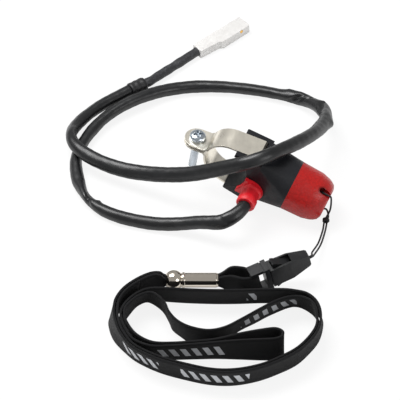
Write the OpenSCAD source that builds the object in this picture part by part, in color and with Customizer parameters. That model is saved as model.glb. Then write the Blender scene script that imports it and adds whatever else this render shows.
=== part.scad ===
/* [Handlebar clamp] */
// Diameter of the handlebar
bar_d = 22; // [20:0.5:23]
// Radial room between the saddle and the bar
saddle_room = 0.1; // [0.05:0.05:0.3]
// Width of the clamp band along the bar
band_w = 12.6; // [10:0.2:14]
// Thickness of the clamp band
band_t = 1; // [0.8:0.1:1.2]
// Radial room between the band and the bar
band_room = 0.15; // [0.1:0.05:0.4]
// Distance from the bar's axis to the clamp screw
ear_reach = 18.2; // [17.5:0.1:19]
// Angle by which the ears hang below the switch's axis
ear_droop = 11; // [6:1:14]
// Radius of the ears' rounded ends
ear_r = 6.2; // [5.6:0.1:6.3]
// Gap between the two ears
ear_gap = 0.6; // [0.3:0.1:1]
// Nominal diameter of the clamp screw
screw_d = 4; // [3.5:0.5:4]
// Length of the clamp screw under its head
screw_len = 20; // [16:1:24]
// Diameter of the screw's head
screw_head_d = 8; // [7:0.5:8]
// Height of the screw's head
screw_head_h = 3; // [2:0.2:3.4]

/* [Switch housing] */
// Diameter of the housing at the cap's seam
body_d = 25; // [24:0.5:27]
// Distance from the switch's zero to the cap's seam
body_len = 33; // [31:0.5:36]
// Length of the saddle along the bar
saddle_w = 19; // [17:0.5:22]
// Thickness of the jaws at their tips
jaw_tip_t = 1.6; // [1.4:0.1:2.6]
// Thickness of the jaws at their roots
jaw_root_t = 2.2; // [1.8:0.1:3.6]
// Rounding of the housing's long edges
body_round = 3; // [2:0.5:4]
// Wall between the saddle and the band's slot
slot_wall = 1.3; // [1:0.1:1.5]
// Diameter of the chamber for the reed switch
chamber_d = 15; // [13:0.5:16]
// Wall between the band's slot and the chamber
chamber_wall = 2.4; // [1.8:0.1:2.8]

/* [Front insert and reed switch] */
// Length of the insert's plug inside the housing
insert_len = 5; // [4:0.5:5.5]
// Diameter of the spigot that enters the cap
spigot_d = 19; // [18:0.5:20]
// Length of the spigot
spigot_len = 3.5; // [3:0.25:3.75]
// Outer diameter of the steel keeper ring
keeper_d = 15; // [14:0.5:16]
// Thickness of the keeper ring
keeper_t = 1.5; // [1:0.25:1.75]
// Diameter of the glass reed capsule
reed_d = 2.2; // [1.8:0.1:2.6]
// Board left free behind the glass reed capsule
reed_margin = 2.1; // [1.6:0.1:3]
// Width of the small board under the reed switch
board_w = 9; // [7:0.5:9.5]
// Thickness of the board
board_t = 1; // [0.8:0.1:1.2]
// Diameter of each insulated wire
wire_d = 1.6; // [1.2:0.1:1.8]

/* [Magnetic cap] */
// Length of the cap beyond the seam
cap_len = 19; // [18:0.5:21]
// Diameter of the cap's flat nose
cap_nose_d = 14.6; // [13:0.2:16]
// Diameter of the cap where its nose starts to round
cap_shoulder_d = 24.2; // [23:0.2:25]
// Depth of the socket for the spigot
socket_depth = 4; // [4:0.25:4.5]
// Outer diameter of the ring magnet
magnet_d = 14; // [12:0.5:15]
// Thickness of the ring magnet
magnet_t = 4; // [3:0.5:4.5]
// Bore of the ring magnet
magnet_bore = 5; // [4:0.5:6]
// Thickness of the steel backing disc
backing_t = 1.2; // [0.8:0.1:1.4]
// Diameter of the hole for the tether cord
eye_d = 3; // [2.6:0.1:3.4]
// Distance from the cap's nose to the hole for the cord
eye_back = 4.7; // [4.2:0.1:5.2]
// Angle of the cord's hole about the switch's axis
eye_turn = 19; // [10:1:30]

/* [Cable gland and leads] */
// Width of the gland's flange along the switch
flange_w = 11; // [10:0.5:11.5]
// Height of the gland's flange
flange_h = 10.6; // [9.5:0.1:11.4]
// Thickness of the flange
flange_t = 2; // [1.4:0.1:2.4]
// Diameter of the gland's boss
boss_d = 8.6; // [7.6:0.1:8.8]
// Length of the gland beyond the saddle's side
gland_len = 11.6; // [11:0.1:15]
// Outer diameter of the cable
cable_d = 6; // [5.4:0.1:6.6]
// Length of cable held in the gland
cable_grip = 5; // [3:0.5:6]
// Diameter of the heat-shrink collar
collar_d = 6.6; // [6.4:0.1:7.2]
// Length of the heat-shrink collar
collar_len = 8.4; // [6:0.2:9]
// Diameter of the thin sleeve
sleeve_d = 4.4; // [3.4:0.1:4.6]
// Length of the connector
plug_len = 29; // [26:0.5:32]
// Width of the connector's rear half
plug_rear_w = 8; // [7.4:0.2:8.6]
// Width of the connector's front half
plug_front_w = 6.4; // [5.8:0.2:7]
// Height of the connector
plug_h = 5; // [4.6:0.2:5.6]

/* [Lanyard strap and bead] */
// Width of the strap
strap_w = 15; // [14:0.5:15.5]
// Thickness of the strap
strap_t = 1; // [0.8:0.1:1.1]
// Distance between two runs of strap that lie side by side
layer_pitch = 1.7; // [1.6:0.05:1.9]
// Diameter of the bead's ball
ball_d = 9.8; // [9.4:0.1:10]
// Diameter of the bead's tube
tube_d = 7.2; // [7:0.1:7.6]
// Length of the bead from the ball's middle to the tube's end
bead_len = 21.3; // [19:0.1:21.4]
// Diameter of the bore through the bead
bead_bore = 6.4; // [6.2:0.1:6.5]

/* [Buckle and tether cord] */
// Length of the buckle's socket half
socket_len = 20.5; // [19:0.5:22]
// Width of the socket's plates at the mouth
plate_w = 11.4; // [10:0.2:12]
// Width of the socket at its tip
tip_w = 7; // [5.6:0.2:7.6]
// Thickness of the buckle at the mouth
buckle_t = 7.4; // [7:0.2:8]
// Thickness of the buckle at its tip
tip_t = 4.8; // [4.4:0.2:5.4]
// Width of the buckle's collar
collar_w = 15.2; // [14.8:0.2:16]
// Reach of the prongs' grips to each side of the middle
grip_reach = 8.2; // [7.6:0.1:8.6]
// Diameter of the bar that the strap goes round
strap_bar_d = 2.8; // [2.4:0.1:3]
// Diameter of the tether cord
tether_d = 0.9; // [0.8:0.1:1]

/* [Hidden] */

// A closed joint face and a press fit are 0.02 apart, a loose seat 0.1, a sliding part 0.3
face_gap = 0.02;
seat_gap = 0.1;
slide_gap = 0.3;
cut = 1;

// Place of the layout in the part's frame
layout_shift = [-10.334, 56.52, 0.057];
// Place and slope of the switch, whose axis runs from the saddle to the cap
switch_at = [15.1, 5.7, 26];
switch_yaw = -20;
switch_pitch = 19;

// Bar's axis in the switch's frame, as distance along the axis and height
bar_a = 0.5;
bar_c = -1.5;
saddle_r = bar_d / 2 + saddle_room;
slot_a = saddle_r + slot_wall + band_t / 2 + seat_gap;
chamber_a = bar_a + slot_a + band_t / 2 + seat_gap + chamber_wall;
chamber_len = body_len - insert_len - chamber_a;

band_r = bar_d / 2 + band_room + band_t / 2;
slot_c = bar_d / 2 + 2.75;
ear_at = [-ear_reach, -0.9];

// Centre of the gland in the switch's frame, and its depth in the housing
gland_a = bar_a + saddle_r + flange_w / 2 + 0.1;
gland_c = -5;
gland_neck_d = boss_d - 1.4;
gland_seat = saddle_w / 2;
gland_neck = gland_seat - band_w / 2 - slide_gap;
gland_heel = 2.2;

// Cable's route on the floor and over the housing, in the layout's frame
CABLE_ROUTE = [
    [20.2, -22, 15.6], [18.1, -24.4, 15.2], [15.5, -26.2, 14.5], [12.6, -27.3, 13.5], [9.4, -27.7, 12.3],
    [0, -24.2, 9],
    [-8, -22.1, 6], [-16, -20.5, 4], [-24.6, -18.9, 3.2], [-36.2, -15.7, 3.2], [-44.9, -11.5, 3.2],
    [-51.2, -6.5, 3.2], [-55.6, -0.2, 3.2], [-58.5, 8.1, 3.2], [-59.8, 16, 3.2],
    [-60.1, 23.8, 3.2], [-58.7, 31, 3.2], [-56, 37.7, 3.2], [-52.1, 44.8, 3.4], [-47.1, 51.6, 3.8],
    [-41.2, 57.2, 4.4], [-34.3, 62.1, 5], [-27.2, 66.3, 4.9], [-19, 70.7, 4], [-9.6, 73.7, 3.3],
    [0, 74.9, 3.2], [14, 74.4, 3.2], [28.9, 72, 3.2], [39.9, 68.9, 3.3], [48.3, 65.6, 4.2],
    [54.7, 60, 6.2], [59.5, 51.9, 10], [60.9, 42.5, 14], [58.9, 32.3, 18.5], [54.7, 21.3, 23.9],
    [47.6, 9.4, 30.1], [40.2, 0, 34.7], [32.7, -7.2, 37.4], [23.5, -10.3, 36.1],
    [14.2, -8.6, 31.4], [4.6, -6, 25.8], [-4.8, -2.8, 20.5], [-14.5, 1.1, 16.1], [-25, 5.8, 12.2],
    [-36.2, 10.8, 9.6], [-46.3, 15.8, 9.1], [-55, 21.7, 9.4], [-60.8, 28.8, 9.4], [-62.5, 36.3, 8],
    [-61.2, 43.3, 5.8], [-57.7, 50.5, 4.1], [-54, 55.7, 3.4], [-49.3, 60.6, 3.2],
    [-44.8, 64.3, 3.2], [-39.5, 67.9, 3.3]
];
// Middle of the collar's rear face, and the way that the leads go on
collar_at = [-34, 71.8, 3.4];
lead_heading = 34;
LEAD_ROUTE = [[-20.4, 82.6, 2.7], [-14.2, 88.2, 2.6], [-7.9, 93.9, 2.6]];
plug_at = [-1.5, 99.8, 0.1];
plug_heading = 40;

// Bead: middle of its ball
ball_at = [-12.6, -59.5, 5];
neck_h = 4.4;

// Buckle: middle of the socket's mouth
buckle_at = [33.6, -60.3, 9.9];
buckle_heading = 22;
buckle_pitch = 11;
mouth_gap = 0.3;
collar_depth = 2.4;
strap_bar_u = -8.4;

function unit(v) = v / norm(v);
function sum2(a, b) = [for (i = [0 : len(a) - 1]) a[i] + b[i]];
// The vector v, pitched down and turned about Z
function pitched(v, a) = [v[0] * cos(a) + v[2] * sin(a), v[1], v[2] * cos(a) - v[0] * sin(a)];
function turned(v, a) = [v[0] * cos(a) - v[1] * sin(a), v[0] * sin(a) + v[1] * cos(a), v[2]];
function in_switch(v) = switch_at + turned(pitched(v, switch_pitch), switch_yaw);
function in_buckle(v) = buckle_at + turned(pitched(v, -buckle_pitch), buckle_heading);

module on_switch() translate(layout_shift + switch_at) rotate([0, switch_pitch, switch_yaw]) children();
module on_buckle() translate(layout_shift + buckle_at) rotate([0, -buckle_pitch, buckle_heading]) children();
module on_plug() translate(layout_shift + plug_at) rotate([0, 0, plug_heading]) children();
module on_ear() translate([bar_a + ear_at[0], 0, bar_c + ear_at[1]]) rotate([0, -ear_droop, 0]) children();
// Turns a shape that was built up along Z to run along the switch's axis
module axially() rotate([0, 90, 0]) children();
// Stands a drawing in the plane of axis and height, w wide along the bar
module across(w) rotate([90, 0, 0]) linear_extrude(w, center = true) children();

// Point between p1 and p2 on a curve that passes through all four points
function curve_point(p0, p1, p2, p3, u) =
    0.5 * (2 * p1 + (p2 - p0) * u + (2 * p0 - 5 * p1 + 4 * p2 - p3) * u * u
    + (3 * p1 - p0 - 3 * p2 + p3) * u * u * u);
function smooth_open(P, steps) = let (n = len(P) - 1) [
    for (i = [0 : n - 1], k = [0 : steps - 1])
        curve_point(i == 0 ? 2 * P[0] - P[1] : P[i - 1], P[i], P[i + 1],
            i == n - 1 ? 2 * P[n] - P[n - 1] : P[i + 2], k / steps),
    P[n]
];
function smooth_closed(P, steps) = let (n = len(P)) [
    for (i = [0 : n - 1], k = [0 : steps - 1])
        curve_point(P[(i + n - 1) % n], P[i], P[(i + 1) % n], P[(i + 2) % n], k / steps)
];
function headings(P) = let (n = len(P) - 1) [
    for (i = [0 : n]) unit(P[min(i + 1, n)] - P[max(i - 1, 0)])
];
// Sideways directions carried along the headings without twist
function carried(T) = [
    for (i = 0, s = unit(cross(T[0], [0.1, 0.2, 1])); i < len(T);
        i = i + 1, s = i < len(T) ? unit(s - T[i] * (s * T[i])) : s) s
];

// A round cord of diameter d along the points P, in rings of a few sides
module cord(P, d, sides) {
    T = headings(P);
    S = carried(T);
    rings = [
        for (i = [0 : len(P) - 1], k = [0 : sides - 1])
            P[i] + d / 2 * (cos(360 * k / sides) * S[i] + sin(360 * k / sides) * cross(T[i], S[i]))
    ];
    last = (len(P) - 1) * sides;
    translate(layout_shift)
        polyhedron(rings, concat(
            [[for (k = [0 : sides - 1]) k]],
            [for (i = [0 : len(P) - 2], k = [0 : sides - 1]) let (m = (k + 1) % sides, at = i * sides)
                [at + k, at + sides + k, at + sides + m, at + m]],
            [[for (k = [sides - 1 : -1 : 0]) last + k]]
        ));
}

// Profile of the housing's saddle and jaws
module saddle_profile() {
    top = bar_c + saddle_r;
    root = chamber_a - 0.5;
    difference() {
        polygon([
            [bar_a + 1.4, top - 1], [bar_a + 1.4, top + jaw_tip_t - 0.4], [bar_a + 2, top + jaw_tip_t],
            [bar_a + slot_a, top + jaw_root_t], [root, top + jaw_root_t],
            [root, bar_c - saddle_r - jaw_root_t + 0.4], [bar_a + slot_a, bar_c - saddle_r - jaw_root_t],
            [bar_a + 3.6, bar_c - saddle_r - jaw_tip_t + 0.4],
            [bar_a + 3, bar_c - saddle_r - jaw_tip_t + 0.9], [bar_a + 3, bar_c - saddle_r + 1]
        ]);
        translate([bar_a, bar_c]) circle(saddle_r, $fn = 96);
    }
}

// Room above the line on which the band runs from the bar to its slot
module groove_profile() {
    floor_r = band_r - band_t / 2 - seat_gap;
    far = slot_a + band_t / 2 + seat_gap;
    bend = slot_a - 1.9;
    bend_y = (floor_r - bend * cos(leave_angle)) / sin(leave_angle);
    for (side = [0, 1]) translate([bar_a, bar_c]) mirror([0, side]) polygon([
        [-1, (floor_r + cos(leave_angle)) / sin(leave_angle)],
        [bend, bend_y], [far, bend_y - 1.15 * (far - bend)],
        [far, saddle_r + 12], [-1, saddle_r + 12]
    ]);
}

module switch_housing() color([0.2, 0.205, 0.215]) on_switch() difference() {
    union() {
        across(saddle_w) saddle_profile();
        hull() {
            translate([chamber_a - 1, 0, -0.8])
                rotate([90, 0, 90]) linear_extrude(1) offset(body_round, $fn = 32)
                    square([saddle_w, saddle_r * 2 + jaw_root_t * 2 - 1] - 2 * [body_round, body_round],
                        center = true);
            translate([body_len - 1, 0, 0]) axially() cylinder(1, d = body_d, $fn = 72);
        }
    }
    translate([bar_a, 0, bar_c]) rotate([90, 0, 0])
        cylinder(saddle_w + 2 * cut, r = saddle_r, center = true, $fn = 96);
    // Groove in the jaws, and slot behind the saddle, for the band
    across(band_w + 2 * seat_gap) groove_profile();
    translate([bar_a + slot_a, 0, bar_c])
        cube([band_t + 2 * seat_gap, band_w + 2 * seat_gap, slot_c * 2 + 6], center = true);
    // Chamber and the insert's bore
    translate([chamber_a, 0, 0]) axially() cylinder(chamber_len + cut, d = chamber_d, $fn = 64);
    translate([body_len - insert_len, 0, 0]) axially()
        cylinder(insert_len + cut, d = spigot_d + 2, $fn = 72);
    // Way in for the gland, and flat for its flange
    translate([gland_a, -gland_seat, gland_c]) rotate([90, 0, 0])
        linear_extrude(saddle_w) flange_outline(-seat_gap);
    translate([gland_a, 0, gland_c]) rotate([90, 0, 0])
        cylinder(saddle_w, d = gland_neck_d + 2 * face_gap, $fn = 48);
}

module front_insert() color([0.16, 0.165, 0.175]) on_switch() axially() difference() {
    union() {
        translate([0, 0, body_len - insert_len + face_gap])
            cylinder(insert_len - face_gap, d = spigot_d + 2 - 2 * face_gap, $fn = 72);
        translate([0, 0, body_len]) rotate_extrude($fn = 72) polygon([
            [0, -0.01], [spigot_d / 2, -0.01], [spigot_d / 2, spigot_len - 0.6],
            [spigot_d / 2 - 0.6, spigot_len], [0, spigot_len]
        ]);
    }
    translate([0, 0, body_len + spigot_len - keeper_t]) cylinder(keeper_t + cut, d = keeper_d, $fn = 64);
    translate([0, 0, body_len - insert_len]) cylinder(insert_len - 1.5, d = board_w, $fn = 48);
}

module keeper_ring() color([0.62, 0.63, 0.65]) on_switch() axially()
    translate([0, 0, body_len + spigot_len - keeper_t + face_gap]) difference() {
        cylinder(keeper_t - face_gap, d = keeper_d - 2 * face_gap, $fn = 64);
        translate([0, 0, -cut]) cylinder(keeper_t + 2 * cut, d = keeper_d - 7, $fn = 48);
    }

board_len = chamber_len + insert_len - 3;
board_a = chamber_a + 1;
reed_len = board_len - reed_margin - 2.4;
reed_c = board_t / 2 + reed_d / 2 + seat_gap;
reed_a = board_a + board_len - reed_len - 2.4;

module reed_carrier() color([0.15, 0.42, 0.2]) on_switch() difference() {
    translate([board_a, -board_w / 2 + 0.6, -board_t / 2]) cube([board_len, board_w - 1.2, board_t]);
    for (a = [reed_a - 1.2, reed_a + reed_len + 1.2])
        translate([a, 0, 0]) cylinder(board_t + cut, d = 0.9, center = true, $fn = 24);
    for (b = [-1, 1]) translate([board_a + 1, b * 2.4, 0])
        cylinder(board_t + cut, d = 1, center = true, $fn = 24);
}

module reed_capsule() color([0.75, 0.85, 0.8, 0.6]) on_switch()
    translate([reed_a, 0, reed_c]) axially() rotate_extrude($fn = 32) polygon([
        [0, 0], [reed_d * 0.28, 0], [reed_d / 2, reed_d * 0.4], [reed_d / 2, reed_len - reed_d * 0.4],
        [reed_d * 0.28, reed_len], [0, reed_len]
    ]);

module reed_leads() color([0.8, 0.78, 0.7]) on_switch()
    for (end = [[reed_a - 1.2, 1.2 - face_gap], [reed_a + reed_len + face_gap, 1.2 - face_gap]]) {
        foot = end[0] < reed_a ? end[0] : end[0] + end[1];
        translate([end[0], 0, reed_c]) axially() cylinder(end[1], d = 0.5, $fn = 24);
        translate([foot, 0, -board_t / 2 - 0.4]) cylinder(reed_c + board_t / 2 + 0.65, d = 0.5, $fn = 24);
    }

// Wire from the board's edge down and out through the gland, side being -1 or 1
module lead_wire(side) {
    start = [board_a + 1, side * 2.4, -board_t / 2 - wire_d / 2 - 0.05];
    out = [gland_a, -gland_seat - gland_len + cable_grip + 0.5, gland_c];
    shift = [-side * (wire_d / 2 + 0.1), 0, 0];
    P = [
        start, [start[0] + 1.5, start[1] - 0.3, -2.4],
        [gland_a + 1.3 - 0.9 * side, start[1] * 0.5 - 2, -4.2],
        [gland_a, -6, gland_c] + shift, [gland_a, -10, gland_c] + shift, out + shift
    ];
    cord([for (p = smooth_open(P, 3)) in_switch(p)], wire_d, 8);
}

module signal_wire() color([0.75, 0.12, 0.1]) lead_wire(-1);
module return_wire() color([0.08, 0.08, 0.09]) lead_wire(1);

// Middle line of the band round the bar, from the upper ear's end to the lower ear's end
function ear_line(side, s) = let (off = side * (band_t + ear_gap) / 2)
    ear_at + off * [-sin(ear_droop), cos(ear_droop)] + s * [cos(ear_droop), sin(ear_droop)];
function ear_root(side) = let (q = ear_line(side, 0), b = q * [cos(ear_droop), sin(ear_droop)])
    -b - sqrt(b * b - q * q + band_r * band_r);
function ear_angle(side) = let (p = ear_line(side, ear_root(side)))
    side * ((side * atan2(p[1], p[0]) + 360) % 360);
leave_angle = atan2(slot_c, slot_a) + acos(band_r / norm([slot_a, slot_c]));
function band_half(side) = let (first = ear_angle(side) - side * 7, last = side * leave_angle) [
    ear_line(side, -ear_r),
    ear_line(side, ear_root(side) - 1.3),
    for (k = [0 : 12]) let (angle = first + (last - first) * k / 12) band_r * [cos(angle), sin(angle)],
    [slot_a - 1.2, side * (slot_c - 1.2 * tan(leave_angle - 90))],
    [slot_a, side * (slot_c - 1.5)]
];
function reversed(P) = [for (i = [len(P) - 1 : -1 : 0]) P[i]];
band_line = concat(band_half(1), reversed(band_half(-1)));
function side_of(P, i, t) = let (
    a = max(i, 1), b = min(i, len(P) - 2),
    before = unit(P[a] - P[a - 1]), after = unit(P[b + 1] - P[b]), m = unit(before + after)
) P[i] + t / (m * after) * [-m[1], m[0]];

module clamp_band() color([0.86, 0.84, 0.79]) on_switch() difference() {
    intersection() {
        translate([bar_a, 0, bar_c]) across(band_w) polygon(concat(
            [for (i = [0 : len(band_line) - 1]) side_of(band_line, i, band_t / 2)],
            [for (i = [len(band_line) - 1 : -1 : 0]) side_of(band_line, i, -band_t / 2)]
        ));
        union() {
            on_ear() cylinder(6, r = ear_r, center = true, $fn = 64);
            on_ear() translate([0, -band_w / 2 - cut, -40]) cube([60, band_w + 2 * cut, 80]);
        }
    }
    on_ear() cylinder(3, d = screw_d + 0.4, $fn = 48);
    on_ear() translate([0, 0, -3]) cylinder(4, d = screw_d + 0.1, $fn = 48);
}

ear_top = (band_t + ear_gap) / 2 + band_t / 2;

module clamp_screw() color([0.74, 0.77, 0.8]) on_switch() on_ear() translate([0, 0, ear_top + face_gap])
    difference() {
        union() {
            rotate_extrude($fn = 48) polygon([
                [0, 0], [screw_head_d / 2 - 0.3, 0], [screw_head_d / 2, 0.3],
                [screw_head_d / 2, screw_head_h * 0.45], [screw_head_d * 0.45, screw_head_h * 0.72],
                [screw_head_d * 0.34, screw_head_h * 0.91], [screw_head_d * 0.18, screw_head_h * 0.99],
                [0, screw_head_h]
            ]);
            translate([0, 0, -screw_len + 0.8]) cylinder(screw_len - 0.8, d = screw_d - 0.1, $fn = 48);
            translate([0, 0, -screw_len]) cylinder(0.8, d1 = screw_d - 1.3, d2 = screw_d - 0.1, $fn = 48);
        }
        for (turn = [30, 120]) rotate(turn) translate([0, 0, screw_head_h])
            cube([screw_head_d * 0.6, 0.95, 3.2], center = true);
    }

// Outline of the gland's flange, round towards the cap and drawn in by inset on every side
module flange_outline(inset) {
    end = flange_w / 2 - flange_h / 2;
    difference() {
        union() {
            translate([inset - gland_heel - flange_w / 2, inset - flange_h / 2])
                square([end + gland_heel + flange_w / 2 - inset, flange_h - 2 * inset]);
            translate([end, 0]) circle(flange_h / 2 - inset, $fn = 64);
        }
        circle(d = gland_neck_d - 1, $fn = 48);
        // Clearance round the bar
        translate([bar_a - gland_a, bar_c - gland_c]) circle(saddle_r + 0.2 + inset, $fn = 96);
    }
}

module cable_gland() color([0.84, 0.12, 0.16]) on_switch()
    translate([gland_a, -gland_seat, gland_c]) rotate([90, 0, 0]) {
        translate([0, 0, face_gap]) linear_extrude(flange_t - 0.4) flange_outline(0);
        translate([0, 0, flange_t - 0.5]) linear_extrude(0.5) flange_outline(0.4);
        rotate_extrude($fn = 48) polygon([
            [gland_neck_d / 2 - 0.9, -gland_neck], [gland_neck_d / 2, -gland_neck],
            [gland_neck_d / 2, 0.5], [boss_d / 2 + 0.9, flange_t - 0.2],
            [boss_d / 2 + 0.8, flange_t + 0.9], [boss_d / 2, flange_t + 1.4],
            [boss_d / 2, gland_len - 4.4], [boss_d / 2 + 0.5, gland_len - 4],
            [boss_d / 2 + 0.5, gland_len - 0.8], [boss_d / 2, gland_len],
            [cable_d / 2 + 0.05, gland_len], [cable_d / 2 + 0.05, gland_len - cable_grip],
            [gland_neck_d / 2 - 0.9, gland_len - cable_grip]
        ]);
    }

gland_inner = [gland_a, -gland_seat - gland_len + cable_grip - face_gap, gland_c];
cable_start = [for (b = [0, -cable_grip]) in_switch(gland_inner + [0, b, 0])];
lead_way = [cos(lead_heading), sin(lead_heading), 0];

module switch_cable() color([0.13, 0.13, 0.14])
    cord(smooth_open(concat(
        cable_start, CABLE_ROUTE, [for (s = [2, face_gap]) collar_at - s * lead_way]
    ), 1), cable_d, 12);

module sleeve_collar() color([0.15, 0.15, 0.16])
    cord([collar_at, collar_at + collar_len * lead_way], collar_d, 24);

module lead_sleeve() color([0.2, 0.2, 0.22])
    cord(concat([collar_at + (collar_len + face_gap) * lead_way], smooth_open(concat(
        [for (s = [0.5, 3.6]) collar_at + (collar_len + s) * lead_way], LEAD_ROUTE,
        [plug_at + [0, 0, plug_h / 2] - face_gap * [cos(plug_heading), sin(plug_heading), 0]]
    ), 3)), sleeve_d, 10);

terminal_y = plug_front_w / 4;

module connector_housing() color([0.92, 0.93, 0.94]) on_plug() difference() {
    union() {
        linear_extrude(plug_h) polygon([
            [0, -plug_rear_w / 2], [plug_len * 0.5, -plug_rear_w / 2],
            [plug_len * 0.53, plug_rear_w / 2 - plug_front_w],
            [plug_len - 1, plug_rear_w / 2 - plug_front_w], [plug_len, plug_rear_w / 2 - plug_front_w + 1],
            [plug_len, plug_rear_w / 2 - 0.6], [plug_len - 0.6, plug_rear_w / 2], [0, plug_rear_w / 2]
        ]);
        translate([plug_len * 0.2, 0.4, plug_h]) linear_extrude(0.9)
            square([plug_len * 0.32, plug_rear_w * 0.45], center = false);
    }
    for (way = [-1, 1]) translate([-cut, 0.8 + way * terminal_y, plug_h / 2]) {
        translate([plug_len - 3.5, 0, 0]) axially() cylinder(6, d = 2, $fn = 32);
        axially() cylinder(plug_len, d = 1.7, $fn = 32);
    }
    translate([-cut, 0, plug_h / 2]) axially() cylinder(cut + 1.5, d = sleeve_d + 0.1, $fn = 32);
}

module connector_terminals() color([0.85, 0.66, 0.28]) on_plug()
    for (way = [-1, 1]) translate([6, 0.8 + way * terminal_y, plug_h / 2]) axially() difference() {
        union() {
            cylinder(plug_len - 12, d = 1.6, $fn = 32);
            translate([0, 0, plug_len - 12]) cylinder(3, d = 1.2, $fn = 32);
        }
        translate([0, 0, -cut]) cylinder(5, d = 1, $fn = 24);
    }

magnet_a = body_len + socket_depth;
eye_a = body_len + cap_len - eye_back;
module on_eye() translate([eye_a, 0, 0]) rotate([eye_turn, 0, 0]) children();

module cap_shell() color([0.66, 0.17, 0.17]) on_switch() difference() {
    axially() rotate_extrude($fn = 96) polygon([
        [0, body_len + face_gap], [body_d / 2, body_len + face_gap],
        [cap_shoulder_d / 2, body_len + cap_len - 8], [cap_shoulder_d / 2 - 1, body_len + cap_len - 4.2],
        [cap_shoulder_d / 2 - 1.7, body_len + cap_len - 2.6],
        [cap_nose_d / 2 + 1.9, body_len + cap_len - 0.9], [cap_nose_d / 2, body_len + cap_len],
        [0, body_len + cap_len]
    ]);
    translate([body_len - cut, 0, 0]) axially()
        cylinder(socket_depth + cut, d = spigot_d + 2 * slide_gap, $fn = 72);
    translate([magnet_a - cut, 0, 0]) axially()
        cylinder(magnet_t + backing_t + cut + face_gap, d = magnet_d + 2 * face_gap, $fn = 64);
    // Hole for the cord, with a groove from each mouth to the nose
    on_eye() cylinder(body_d + 2 * cut, d = eye_d, center = true, $fn = 32);
    for (side = [-1, 1]) on_eye() translate([0, -eye_d / 2, side > 0 ? cap_nose_d / 2 + 0.4 : -body_d])
        cube([cap_len, eye_d, body_d - cap_nose_d / 2 - 0.4]);
}

module cap_magnet() color([0.55, 0.56, 0.58]) on_switch() axially()
    translate([0, 0, magnet_a]) difference() {
        cylinder(magnet_t, d = magnet_d, $fn = 64);
        translate([0, 0, -cut]) cylinder(magnet_t + 2 * cut, d = magnet_bore, $fn = 48);
    }

module magnet_backing() color([0.5, 0.51, 0.53]) on_switch() axially()
    translate([0, 0, magnet_a + magnet_t + face_gap]) cylinder(backing_t - face_gap, d = magnet_d, $fn = 64);

// Tether cord: from the buckle's tip to the knot, through the cap's eye and back
function in_eye(p) = in_switch([eye_a + p[0], -p[2] * sin(eye_turn) + p[1] * cos(eye_turn),
    p[2] * cos(eye_turn) + p[1] * sin(eye_turn)]);
knot_at = [60.8, -17, 3];
TETHER_ROUTE = concat(
    [in_buckle([socket_len - 3.4, 0, 0.5]), in_buckle([socket_len + 1.5, 0, 0.3])],
    [[54, -45, 9.4], [57, -34, 4.6], [59.2, -24, 3.2]],
    [knot_at + [-0.6, 0, 0], [62.8, -13.2, 6.4]],
    [for (p = [[5.4, 7.6], [3.6, 9], [1.8, 9.1], [0.5, 8.6], [0, 7.2]]) in_eye([p[0], 0, p[1]])],
    [for (z = [5.4, 2, -2, -5.4]) in_eye([0, 0, z])],
    [for (p = [[0, -7.2], [0.5, -8.6], [1.8, -9.1], [3.8, -8.8], [6, -7.4]]) in_eye([p[0], 0, p[1]])],
    [[62, -13.4, 2.6], knot_at + [0.6, 0, 0]],
    [[60.4, -24, 2.8], [58.2, -34, 3.6], [55.2, -45, 8.2]],
    [in_buckle([socket_len + 1.5, 0, -0.75]), in_buckle([socket_len - 3.4, 0, -0.6])]
);

module tether_cord() color([0.05, 0.05, 0.05]) cord(smooth_open(TETHER_ROUTE, 3), tether_d, 6);

// Outline of a buckle part in its side view, tapering from the mouth to the tip
module taper_block(w0, w1, straight) linear_extrude(buckle_t, center = true) polygon([
    [0, -w0 / 2], [straight, -w0 / 2], [socket_len - 0.8, -w1 / 2], [socket_len, -w1 / 2 + 0.8],
    [socket_len, w1 / 2 - 0.8], [socket_len - 0.8, w1 / 2], [straight, w0 / 2], [0, w0 / 2]
]);

plate_t = 1.2;
window_len = 11.5;

// The buckle lies along X with its width along Z and its thickness along Y
module buckle_socket() color([0.12, 0.12, 0.13]) on_buckle() difference() {
    intersection() {
        rotate([90, 0, 0]) taper_block(plate_w, tip_w, socket_len * 0.52);
        linear_extrude(collar_w, center = true) polygon([
            [0, -buckle_t / 2], [socket_len * 0.5, -buckle_t / 2 + 0.3], [socket_len, -tip_t / 2],
            [socket_len, tip_t / 2], [socket_len * 0.5, buckle_t / 2 - 0.3], [0, buckle_t / 2]
        ]);
    }
    // Hollow between the plates, open at the mouth and at both sides
    translate([-cut, -buckle_t / 2 + plate_t, -plate_w / 2 + 1.1])
        cube([window_len + 2.5 + cut, buckle_t - 2 * plate_t, plate_w - 2.2]);
    translate([1.6, -buckle_t / 2 + plate_t, -collar_w / 2])
        cube([window_len - 1.6, buckle_t - 2 * plate_t, collar_w]);
    translate([0, 0, 0]) axially() cylinder(socket_len + cut, d = 3, $fn = 32);
}

// One prong with its grip, drawn in the plane of length and width
module prong_outline() polygon([
    [-mouth_gap - 0.5, 1.6], [5.2, 2.2], [10.4, 2.4], [11, 3.4], [9.6, 4.4], [7.4, 5.2], [5.6, 6.2],
    [3.4, grip_reach - 0.5],
    [2.4, grip_reach], [1.9, grip_reach - 0.2], [1.9, 4.2], [-mouth_gap - 0.5, 3.9]
]);

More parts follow.
